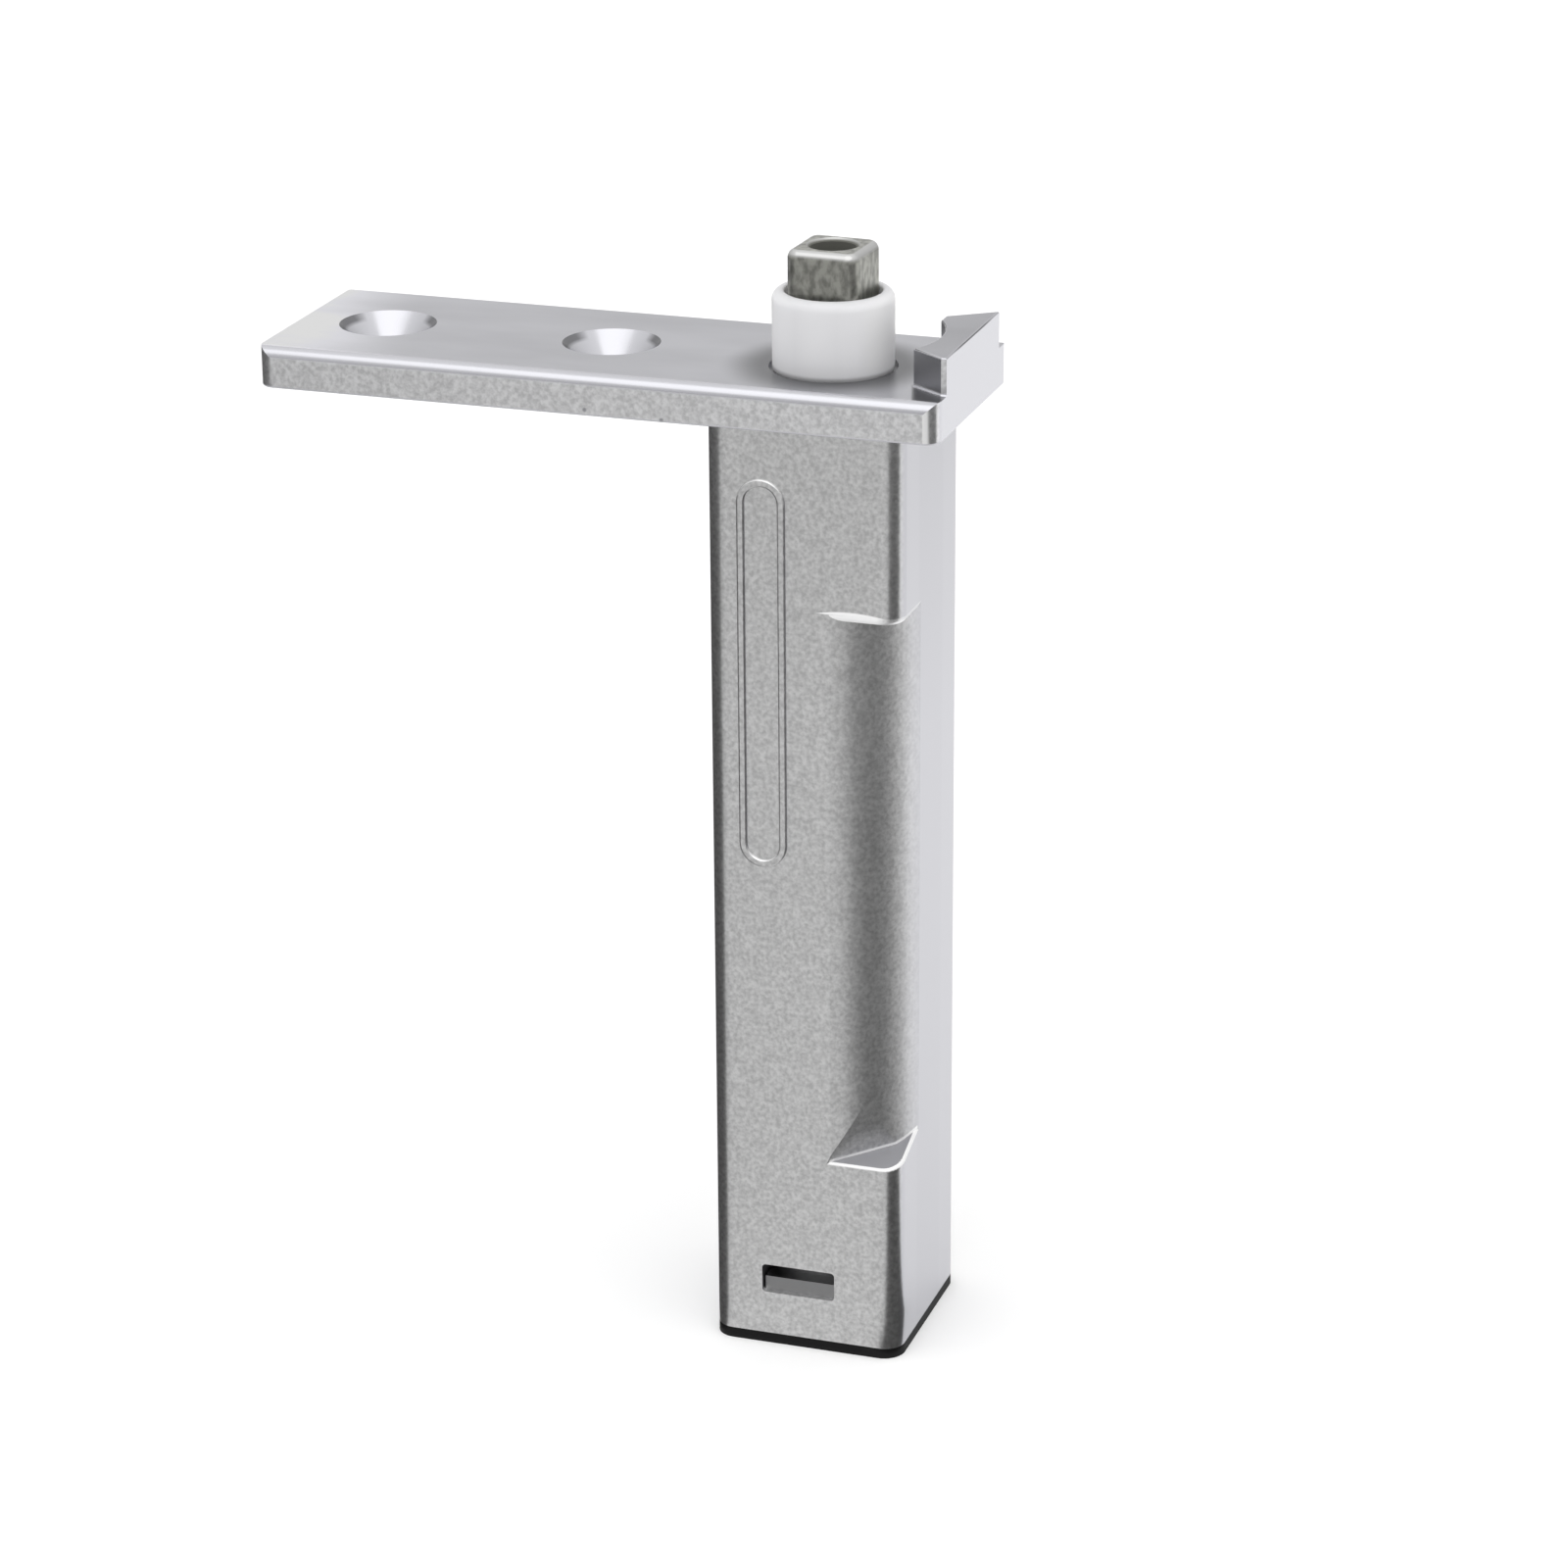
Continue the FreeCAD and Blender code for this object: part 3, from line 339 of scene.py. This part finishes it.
def noise(tree, space, size_mm, detail=2.0, stretch=(1.0, 1.0, 1.0)):
    """A cloudy pattern whose spots are about size_mm across, drawn out where stretch is small."""
    drawn = add(tree, "ShaderNodeMapping", {"Vector": space, "Scale": stretch}).outputs["Vector"]
    return add(
        tree, "ShaderNodeTexNoise", {"Vector": drawn, "Scale": 1 / (size_mm * MM), "Detail": detail}
    ).outputs["Fac"]


def scuffed_grain(tree, grain, scuffs):
    """A grain with some larger scuffs in it."""
    return add(tree, "ShaderNodeMix", {"Factor": SCUFF_SHARE, "A": grain, "B": scuffs}).outputs[0]


# Painted light and shade, and marks of wear

def crescent(tree, place, faces):
    """1 in the crescent of painted highlight that rises over the lip of the relief on the front face."""
    along = math_node(tree, "SUBTRACT", place["X"], CRESCENT_MIDDLE)
    share = math_node(tree, "DIVIDE", along, CRESCENT_HALF)
    bow = math_node(tree, "SUBTRACT", 1.0, product(tree, share, share))
    top = math_node(tree, "ADD", product(tree, bow, CRESCENT_RISE), CRESCENT_FOOT)
    past_top = math_node(tree, "SUBTRACT", place["Z"], top)
    under = ramp(tree, past_top, -CRESCENT_BLUR, CRESCENT_BLUR, start=1.0, end=0.0)
    over = ramp(tree, place["Z"], CRESCENT_FOOT, CRESCENT_FOOT + CRESCENT_BLUR)
    tips = ramp(tree, bow, *CRESCENT_TIPS)
    return product(tree, under, over, tips, ramp(tree, faces["Y"], *ZINC_FRONT))


def lip_highlight(tree, place, faces):
    """1 where highlight is painted on the relief's lip and its crescent, fainter where the lip turns to the
    side face.
    """
    underside = product(tree, ramp(tree, faces["Z"], *LIP_UNDERSIDE), band(tree, place["Z"], *LIP))
    lip = product(tree, underside, ramp(tree, place["X"], *LIP_END, start=1.0, end=0.3))
    return highest(tree, lip, crescent(tree, place, faces))


def ledge_highlight(tree, place, faces, slant, inside):
    """1 where highlight is painted: along the ledge's front rim and in the line where the relief's wall meets
    it.
    """
    back = math_node(tree, "SUBTRACT", place["Y"], FRONT_FACE)
    ledge_here = math_node(tree, "ADD", product(tree, back, LEDGE_RISE), LEDGE_FOOT)
    above_ledge = math_node(tree, "SUBTRACT", place["Z"], ledge_here)
    wall_foot = ramp(tree, above_ledge, *LEDGE_LINE, start=1.0, end=0.0)
    recessed = product(tree, ramp(tree, back, *RECESSED), ramp(tree, place["X"], *SIDE_RIM))
    wall_line = product(tree, wall_foot, ramp(tree, slant, *LEDGE_WALL), inside, recessed)
    rim_line = between(tree, faces["Z"], *LEDGE_RIM)
    return product(tree, highest(tree, wall_line, rim_line), band(tree, place["Z"], *LEDGE))


def plate_shade(tree, space, place):
    """Painted light on the plate top: a highlight at its left end, shade by the bush, the stop's reflection.
    """
    skew = math_node(tree, "ADD", place["X"], product(tree, place["Y"], LIT_END_SLANT))
    # Painted highlight: the plate's top is painted lighter towards its left end.
    lit_end = ramp(tree, skew, *LIT_END, start=1.6, end=1.0, smooth=True)
    # Painted shade in a ring around the bush.
    ring_shade = ramp(tree, off_axis(tree, space), *SHADED_RING, start=0.33, end=1.0, smooth=True)
    # Painted reflection: the stop's dark flank mirrored on the plate in front of it.
    mirror = product(
        tree, ramp(tree, skew, *MIRROR_START), ramp(tree, place["Y"], *MIRROR_SIDE),
        ramp(tree, place["Z"], *MIRROR_TOP),
    )
    stop_top = ramp(tree, place["Z"], *STOP_TOP, start=1.0, end=0.8)
    return product(tree, lit_end, ring_shade, level(tree, mirror, start=1.0, end=0.35), stop_top)


def sink_rim_shade(tree, place, faces, sink):
    """1 where shade is painted at the left and right rim of each countersink."""
    right = product(tree, ramp(tree, faces["X"], *SINK_RIGHT), ramp(tree, faces["Y"], *SINK_BACK))
    walls = highest(tree, ramp(tree, faces["X"], *SINK_LEFT), right)
    return product(tree, sink, ramp(tree, place["Z"], *SINK_RIM), walls)


def nicks(tree, space):
    """1 in the small nicks at the foot of the plate's front edge."""
    found = 0.0
    for nick in NICKS:
        middle = tuple(value * MM for value in nick)
        away = add(
            tree, "ShaderNodeVectorMath", {0: space, 1: middle}, operation="DISTANCE"
        ).outputs["Value"]
        found = highest(tree, found, ramp(tree, away, *NICK_SIZE, start=1.0, end=0.0))
    return found


# Materials

def metal(tree, tone, roughness, bump_height, bump_strength, bump_mm, metallic=1.0):
    """A bare metal surface with fine relief. Less metallic where metallic is lowered, as under painted white
    highlights.
    """
    relief = add(
        tree, "ShaderNodeBump", {"Strength": bump_strength, "Distance": bump_mm * MM, "Height": bump_height}
    ).outputs["Normal"]
    shader = add(
        tree, "ShaderNodeBsdfPrincipled",
        {"Base Color": tone, "Metallic": metallic, "Roughness": roughness, "Normal": relief},
    ).outputs["BSDF"]
    add(tree, "ShaderNodeOutputMaterial", {"Surface": shader})


def blasted_zinc(finish):
    """Die-cast zinc: fine blasted grain, smooth ground sides, painted highlights on worn edges, lip and
    ledge.
    """
    material, tree = new_material("blasted die-cast zinc")
    space = pattern_space(tree)
    place = along_axes(tree, space)
    faces = facing(tree)
    across = math_node(tree, "ABSOLUTE", faces["X"])
    slant = math_node(tree, "ABSOLUTE", faces["Z"])
    side = ramp(tree, across, *ZINC_SIDE)
    inside = ramp(tree, off_axis(tree, space), *RELIEF_REACH, start=1.0, end=0.0)
    corner = product(tree, band(tree, across, *UPRIGHT_ROUND), math_node(tree, "SUBTRACT", 1.0, inside))
    shelf = product(tree, ramp(tree, slant, *LEDGE_SHELF), band(tree, place["Z"], *LEDGE))
    # Painted highlights on the lip, its crescent and the ledge.
    painted_highlights = highest(
        tree, lip_highlight(tree, place, faces), ledge_highlight(tree, place, faces, slant, inside)
    )
    grain = noise(tree, space, finish.grain / MM, detail=2.5)
    pattern = scuffed_grain(tree, grain, noise(tree, space, size_mm=1.6))
    tone = mottled(tree, pattern, finish.zinc_blasted, darkest=0.82, lightest=1.16, spread=GRAIN_SPREAD)
    tone = blend(tree, side, tone, tuple(finish.zinc_smooth))
    # Worn edges of the casting, painted brighter as a highlight.
    tone = blend(tree, between(tree, slant, *ZINC_WORN_HIGHLIGHT), tone, tuple(finish.zinc_worn_highlight))
    # Painted shade under the plate: the casting is darker towards its top.
    tone = multiply(tree, tone, ramp(tree, place["Z"], *SHADE_UNDER_PLATE, start=1.0, end=0.9))
    tone = blend(tree, shelf, tone, shaded(finish.zinc_smooth, 0.75))
    # The painted highlights are white and, further down, less metallic.
    tone = blend(tree, painted_highlights, tone, WHITE)
    rough = level(tree, side, start=0.42, end=0.32)
    rough = math_node(tree, "SUBTRACT", rough, product(tree, corner, CORNER_POLISH))
    metal(
        tree, tone, rough, bump_height=grain,
        bump_strength=level(tree, highest(tree, side, corner), start=0.3, end=0.03), bump_mm=0.05,
        metallic=level(tree, painted_highlights, start=1.0, end=0.15),
    )
    return material


def tumbled_steel(finish):
    """Drawn steel bar: satin clouded top, tumbled long edges, ground ends, and painted light and shade."""
    material, tree = new_material("tumbled plated steel")
    space = pattern_space(tree)
    place = along_axes(tree, space)
    faces = facing(tree)
    across = math_node(tree, "ABSOLUTE", faces["X"])
    slant = math_node(tree, "ABSOLUTE", faces["Z"])
    flat = ramp(tree, slant, *STEEL_FLAT)
    end = ramp(tree, faces["X"], *STEEL_END)
    corner = band(tree, across, *UPRIGHT_ROUND)
    worn = between(tree, slant, *STEEL_WORN)
    sink = product(tree, worn, band(tree, place["Y"], *SINK_SIDES))
    # Painted highlight on upright faces turned a little towards +X.
    glint = product(tree, band(tree, faces["X"], *GLINT), ramp(tree, slant, *STEEL_UPRIGHT))
    # Painted dark reflection on the stop's upright flank that faces left.
    flank = product(
        tree, ramp(tree, place["Z"], *STOP_FOOT), ramp(tree, slant, *STOP_UPRIGHT),
        ramp(tree, faces["X"], *STOP_FLANK),
    )
    grain = noise(tree, space, finish.grain / MM)
    pattern = scuffed_grain(tree, grain, noise(tree, space, size_mm=1.8, detail=3.0))
    sawn = mottled(tree, pattern, finish.steel_sawn, darkest=0.8, lightest=1.12, spread=GRAIN_SPREAD)
    cloud = noise(tree, space, size_mm=9.0, detail=3.0, stretch=CLOUD_STRETCH)
    satin = mottled(tree, cloud, finish.steel_rolled, darkest=0.93, lightest=1.05, spread=CLOUD_SPREAD)
    tone = blend(tree, flat, sawn, multiply(tree, satin, plate_shade(tree, space, place)))
    tone = blend(tree, end, tone, tuple(finish.steel_ground))
    tone = blend(tree, worn, tone, tuple(finish.steel_ground))
    tone = blend(tree, glint, tone, WHITE)
    # Paints the dark reflection on the stop's flank.
    tone = blend(tree, flank, tone, shaded(finish.steel_rolled, 0.5))
    # Painted shade at the countersinks' rims.
    tone = blend(tree, sink_rim_shade(tree, place, faces, sink), tone, shaded(finish.steel_rolled, 0.35))
    tone = blend(tree, nicks(tree, space), tone, shaded(finish.steel_rolled, 0.6))
    smooth = highest(tree, flat, end)
    rough = level(tree, smooth, start=0.42, end=0.3)
    rough = math_node(tree, "SUBTRACT", rough, product(tree, corner, CORNER_POLISH))
    rough = math_node(tree, "SUBTRACT", rough, product(tree, worn, EDGE_POLISH))
    rough = math_node(tree, "ADD", rough, product(tree, sink, SINK_DULLING))
    metal(
        tree, tone, rough, bump_height=pattern,
        bump_strength=level(tree, highest(tree, smooth, corner, worn), start=0.35, end=0.03), bump_mm=0.06,
        metallic=level(tree, between(tree, faces["Z"], *STEEL_LOW_EDGE), start=1.0, end=0.2),
    )
    return material


def machined_steel(name, tone, streak_mm, roughness):
    """Turned or ground metal with fine tool lines that run along the part."""
    material, tree = new_material(name)
    lines = noise(tree, pattern_space(tree), streak_mm, detail=3.0, stretch=ALONG_PART)
    rough = ramp(tree, lines, *TOOL_LINES, start=roughness - 0.05, end=roughness + 0.05)
    metal(tree, tuple(tone), rough, bump_height=lines, bump_strength=0.2, bump_mm=0.02)
    return material


def handled_steel(finish):
    """Milled spindle steel: oiled mottled flats, a lighter flat top, painted highlight on its edges, a rough
    drilled hole.
    """
    material, tree = new_material("milled spindle steel")
    space = pattern_space(tree)
    height = facing(tree)["Z"]
    stains = noise(tree, space, size_mm=0.9, detail=3.0, stretch=STAIN_STRETCH)
    lines = noise(tree, space, size_mm=0.4, detail=3.0, stretch=ALONG_PART)
    top = ramp(tree, height, *SQUARE_TOP)
    drilled = ramp(tree, off_axis(tree, space), *DRILLED, start=1.0, end=0.0)
    tone = mottled(tree, stains, finish.spindle_steel, darkest=0.7, lightest=1.25, spread=STAIN_SPREAD)
    tone = multiply(tree, tone, ramp(tree, height, *SQUARE_FACE, start=1.0, end=1.4))
    # Painted highlight on the rounded edges of the drive square's top.
    tone = blend(tree, between(tree, height, SQUARE_TOP, SQUARE_FLAT), tone, tuple(finish.spindle_edge_highlight))
    tone = blend(tree, drilled, tone, tuple(finish.spindle_steel))
    rough = highest(tree, level(tree, top, start=0.38, end=0.3), product(tree, drilled, 0.9))
    metal(tree, tone, rough, bump_height=lines, bump_strength=0.2, bump_mm=0.02)
    return material


def moulded_nylon(name, tone, roughness, glow=0.0, foot_shade=0.0, lit_sides=0.0, shine=0.5):
    """Moulded nylon or rubber: a waxy skin that can let light in, painted shade at its foot and light on its
    sides.
    """
    material, tree = new_material(name)
    space = pattern_space(tree)
    # Painted shade at the foot: darker towards the bottom.
    unshaded = ramp(tree, along_axes(tree, space)["Z"], *SHADED_FOOT, start=1.0 - foot_shade, end=1.0, smooth=True)
    across = math_node(tree, "ABSOLUTE", facing(tree)["X"])
    # Painted light: the sides are painted lighter than the front.
    turned = ramp(tree, across, *BUSH_SIDE, start=1.0 - lit_sides, end=1.0)
    bump = add(
        tree, "ShaderNodeBump",
        {"Strength": 0.12, "Distance": 0.02 * MM, "Height": noise(tree, space, size_mm=0.5)},
    ).outputs["Normal"]
    shader = add(
        tree, "ShaderNodeBsdfPrincipled",
        {
            "Base Color": multiply(tree, tuple(tone), product(tree, unshaded, turned)),
            "Roughness": roughness,
            "IOR": 1.53,
            "Specular IOR Level": shine,
            "Subsurface Weight": glow,
            "Subsurface Radius": (1.0, 1.0, 1.0),
            "Subsurface Scale": 1.0 * MM,
            "Normal": bump,
        },
    ).outputs["BSDF"]
    add(tree, "ShaderNodeOutputMaterial", {"Surface": shader})
    return material


def dress(material, *names):
    """Gives CAD nodes a material."""
    for name in names:
        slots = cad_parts[name].data.materials
        slots.clear()
        slots.append(material)


# Stage: the reflection cards by name, from and to in degrees from +Y towards +X, the radius of the near rim
# and how light each is. Then what all cards share, how the lamp leans, where the studio's walls turn into its
# ceiling, and the floor's paper.

CARDS = [
    ("right_flag", 88.0, 150.0, 17.0 * MM, 0.07),
    ("front_card", 150.0, 222.0, 12.9 * MM, 0.66),
    ("left_flag", 222.0, 330.0, 17.0 * MM, 0.07),
]
CARD_FAR = 600 * MM
CARD_RIM = 60 * MM
CARD_LIFT = 0.5 * MM
CARD_STEP = 6.0
LAMP_TILT = (math.radians(28.0), math.radians(4.0), 0.0)
WALL_TO_CEILING = (0.15, 0.85)
PAPER = (0.9, 0.9, 0.9, 1.0)


def seen_rays(tree):
    """1 for rays of the camera and of mirror and glass, which see the studio as white."""
    rays = add(tree, "ShaderNodeLightPath").outputs
    return highest(tree, rays["Is Glossy Ray"], rays["Is Transmission Ray"], rays["Is Camera Ray"])


def link_new(context, name, data):
    """A new object in the scene."""
    thing = bpy.data.objects.new(name, data)
    context.scene.collection.objects.link(thing)
    return thing


def mesh_from(shape, name):
    """The mesh of a finished bmesh shape."""
    mesh = bpy.data.meshes.new(name)
    shape.to_mesh(mesh)
    shape.free()
    return mesh


# Operators

class HINGE_OT_plate(bpy.types.Operator):
    """Finishes the mounting plate with its stop, and the dowels under it"""
    bl_idname = "hinge.plate"
    bl_label = "Plate"

    def execute(self, context):
        finish = context.scene.hinge_finish
        dowels = machined_steel("ground dowel steel", finish.hard_steel, streak_mm=0.3, roughness=0.25)
        dress(tumbled_steel(finish), "mounting_plate")
        dress(dowels, "locating_dowels")
        return {"FINISHED"}


class HINGE_OT_cartridge(bpy.types.Operator):
    """Finishes the cast cartridge, its end cap and the key in its window"""
    bl_idname = "hinge.cartridge"
    bl_label = "Cartridge"

    def execute(self, context):
        finish = context.scene.hinge_finish
        cap = moulded_nylon("black moulded nylon", finish.black_nylon, roughness=0.6, shine=0.2)
        key = machined_steel("cold drawn steel", finish.turned_steel, streak_mm=0.5, roughness=0.35)
        dress(blasted_zinc(finish), "cartridge_housing")
        dress(cap, "end_cap")
        dress(key, "retainer_key")
        return {"FINISHED"}


class HINGE_OT_spindle(bpy.types.Operator):
    """Finishes the spindle and its seal ring"""
    bl_idname = "hinge.spindle"
    bl_label = "Spindle"

    def execute(self, context):
        finish = context.scene.hinge_finish
        dress(handled_steel(finish), "spindle")
        dress(moulded_nylon("black rubber", finish.black_rubber, roughness=0.7), "seal_ring")
        return {"FINISHED"}


class HINGE_OT_bush(bpy.types.Operator):
    """Finishes the white pivot bush"""
    bl_idname = "hinge.bush"
    bl_label = "Bush"

    def execute(self, context):
        finish = context.scene.hinge_finish
        # Painted shade at the bush's foot and painted light on its sides.
        bush = moulded_nylon(
            "white moulded nylon", finish.white_nylon, roughness=0.42, glow=0.7, foot_shade=0.45, lit_sides=0.15
        )
        dress(bush, "pivot_bush")
        return {"FINISHED"}


class HINGE_OT_works(bpy.types.Operator):
    """Finishes the bearing, cams, pins, seats and spring inside the cartridge"""
    bl_idname = "hinge.works"
    bl_label = "Works"

    def execute(self, context):
        finish = context.scene.hinge_finish
        hard = machined_steel("hardened steel", finish.hard_steel, streak_mm=0.3, roughness=0.3)
        bronze = machined_steel("sintered bronze", finish.bronze, streak_mm=0.2, roughness=0.5)
        seat = machined_steel("turned seat steel", finish.turned_steel, streak_mm=0.4, roughness=0.35)
        wire = machined_steel("phosphated spring steel", finish.spring_steel, streak_mm=0.3, roughness=0.45)
        dress(hard, "thrust_washer", "drive_cam", "cam_pin", "follower_cam", "guide_pin")
        dress(bronze, "neck_bearing")
        dress(seat, "upper_spring_seat", "lower_spring_seat")
        self.wind_spring(context, wire)
        return {"FINISHED"}

    def wind_spring(self, context, material):
        """The closing spring as a new piece copied from its CAD node, in spring wire."""
        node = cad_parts["closing_spring"]
        coil = link_new(context, "spring_coil", node.data.copy())
        coil.matrix_world = node.matrix_world.copy()
        coil.data.materials.clear()
        coil.data.materials.append(material)
        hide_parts("closing_spring")
        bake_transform(coil)


class HINGE_OT_stage(bpy.types.Operator):
    """Sets the camera, the lamp, the floor, the studio and the reflection cards"""
    bl_idname = "hinge.stage"
    bl_label = "Stage"

    def execute(self, context):
        stage = context.scene.hinge_stage
        self.place_camera(context, stage)
        self.light(context, stage)
        self.lay_floor(context, stage)
        self.surround(context, stage)
        for card in CARDS:
            self.set_card(context, *card)
        context.scene.view_settings.view_transform = "Standard"
        return {"FINISHED"}

    def place_camera(self, context, stage):
        lens = bpy.data.cameras.new("camera")
        lens.lens = stage.lens
        lens.clip_start = 10 * MM
        camera = link_new(context, "camera", lens)
        turn = Matrix.Rotation(stage.camera_turn, 4, "Z")
        down = Matrix.Rotation(math.pi / 2 - stage.camera_down, 4, "X")
        roll = Matrix.Rotation(stage.camera_roll, 4, "Z")
        camera.matrix_world = Matrix.Translation(stage.camera_place) @ turn @ down @ roll
        context.scene.camera = camera

    def light(self, context, stage):
        lamp = bpy.data.lights.new("overhead", "SUN")
        lamp.energy = stage.lamp_strength
        lamp.angle = stage.lamp_width
        link_new(context, "overhead", lamp).rotation_euler = LAMP_TILT

    def set_card(self, context, name, start, end, near, tone):
        """A grey card on the floor around the hinge that rises at its far rim. Only metal sees it."""
        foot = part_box("end_cap")[0].z
        profile = [(near, foot + CARD_LIFT), (CARD_FAR, foot + CARD_LIFT), (CARD_FAR, foot + CARD_RIM)]
        clockwise = Vector((0.0, 0.0, -1.0))
        first = Matrix.Rotation(math.radians(start), 3, clockwise)
        shape = bmesh.new()
        corners = [shape.verts.new(first @ Vector((0.0, out, up))) for out, up in profile]
        edges = [shape.edges.new(pair) for pair in zip(corners, corners[1:])]
        bmesh.ops.spin(
            shape, geom=corners + edges, cent=(0.0, 0.0, 0.0), axis=clockwise,
            angle=math.radians(end - start), steps=round((end - start) / CARD_STEP),
        )
        card = link_new(context, name, mesh_from(shape, name))
        card.visible_camera = False
        card.visible_diffuse = False
        card.visible_transmission = False
        card.visible_volume_scatter = False
        card.visible_shadow = False
        material, tree = new_material(f"{name} board")
        shader = add(
            tree, "ShaderNodeEmission", {"Color": (tone, tone, tone, 1.0), "Strength": 1.0}
        ).outputs["Emission"]
        add(tree, "ShaderNodeOutputMaterial", {"Surface": shader})
        card.data.materials.append(material)

    def lay_floor(self, context, stage):
        plane = bmesh.new()
        bmesh.ops.create_grid(plane, x_segments=1, y_segments=1, size=stage.floor_size / 2)
        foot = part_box("end_cap")[0].z
        bmesh.ops.translate(plane, verts=plane.verts, vec=(0.0, 0.0, foot))
        floor = link_new(context, "floor", mesh_from(plane, "floor"))
        material, tree = new_material("pale paper")
        paper = add(tree, "ShaderNodeBsdfDiffuse", {"Color": PAPER}).outputs["BSDF"]
        lift = product(tree, seen_rays(tree), stage.floor_lift)
        glow = add(tree, "ShaderNodeEmission", {"Color": WHITE, "Strength": lift}).outputs["Emission"]
        both = add(tree, "ShaderNodeAddShader", {0: paper, 1: glow}).outputs["Shader"]
        add(tree, "ShaderNodeOutputMaterial", {"Surface": both})
        floor.data.materials.append(material)

    def surround(self, context, stage):
        """The studio, which the camera itself sees as plain white."""
        world = bpy.data.worlds.new("studio")
        world.use_nodes = True
        tree = world.node_tree
        tree.nodes.clear()
        up = along_axes(tree, add(tree, "ShaderNodeTexCoord").outputs["Generated"])["Z"]
        studio = ramp(tree, up, *WALL_TO_CEILING, start=stage.walls, end=stage.ceiling)
        camera_ray = add(tree, "ShaderNodeLightPath").outputs["Is Camera Ray"]
        strength = add(tree, "ShaderNodeMix", {"Factor": camera_ray, "A": studio, "B": 1.0}).outputs[0]
        shader = add(
            tree, "ShaderNodeBackground", {"Color": WHITE, "Strength": strength}
        ).outputs["Background"]
        add(tree, "ShaderNodeOutputWorld", {"Surface": shader})
        context.scene.world = world


class HINGE_PT_panel(bpy.types.Panel):
    """Lists the steps that dress the hinge"""
    bl_idname = "HINGE_PT_panel"
    bl_label = "Pivot Hinge"
    bl_space_type = "VIEW_3D"
    bl_region_type = "UI"
    bl_category = "Hinge"

    def draw(self, context):
        for operator in OPERATORS:
            self.layout.operator(operator.bl_idname)


OPERATORS = (
    HINGE_OT_stage,
    HINGE_OT_plate,
    HINGE_OT_cartridge,
    HINGE_OT_spindle,
    HINGE_OT_bush,
    HINGE_OT_works,
)
CLASSES = (HingeFinish, HingeStage, *OPERATORS, HINGE_PT_panel)


def register():
    for each in CLASSES:
        bpy.utils.register_class(each)
    bpy.types.Scene.hinge_finish = bpy.props.PointerProperty(type=HingeFinish)
    bpy.types.Scene.hinge_stage = bpy.props.PointerProperty(type=HingeStage)


def unregister():
    del bpy.types.Scene.hinge_stage
    del bpy.types.Scene.hinge_finish
    for each in reversed(CLASSES):
        bpy.utils.unregister_class(each)


def main():
    """Dresses the hinge."""
    register()
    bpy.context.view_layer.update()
    for operator in OPERATORS:
        group, name = operator.bl_idname.split(".")
        getattr(getattr(bpy.ops, group), name)()


if __name__ == "__main__":
    main()
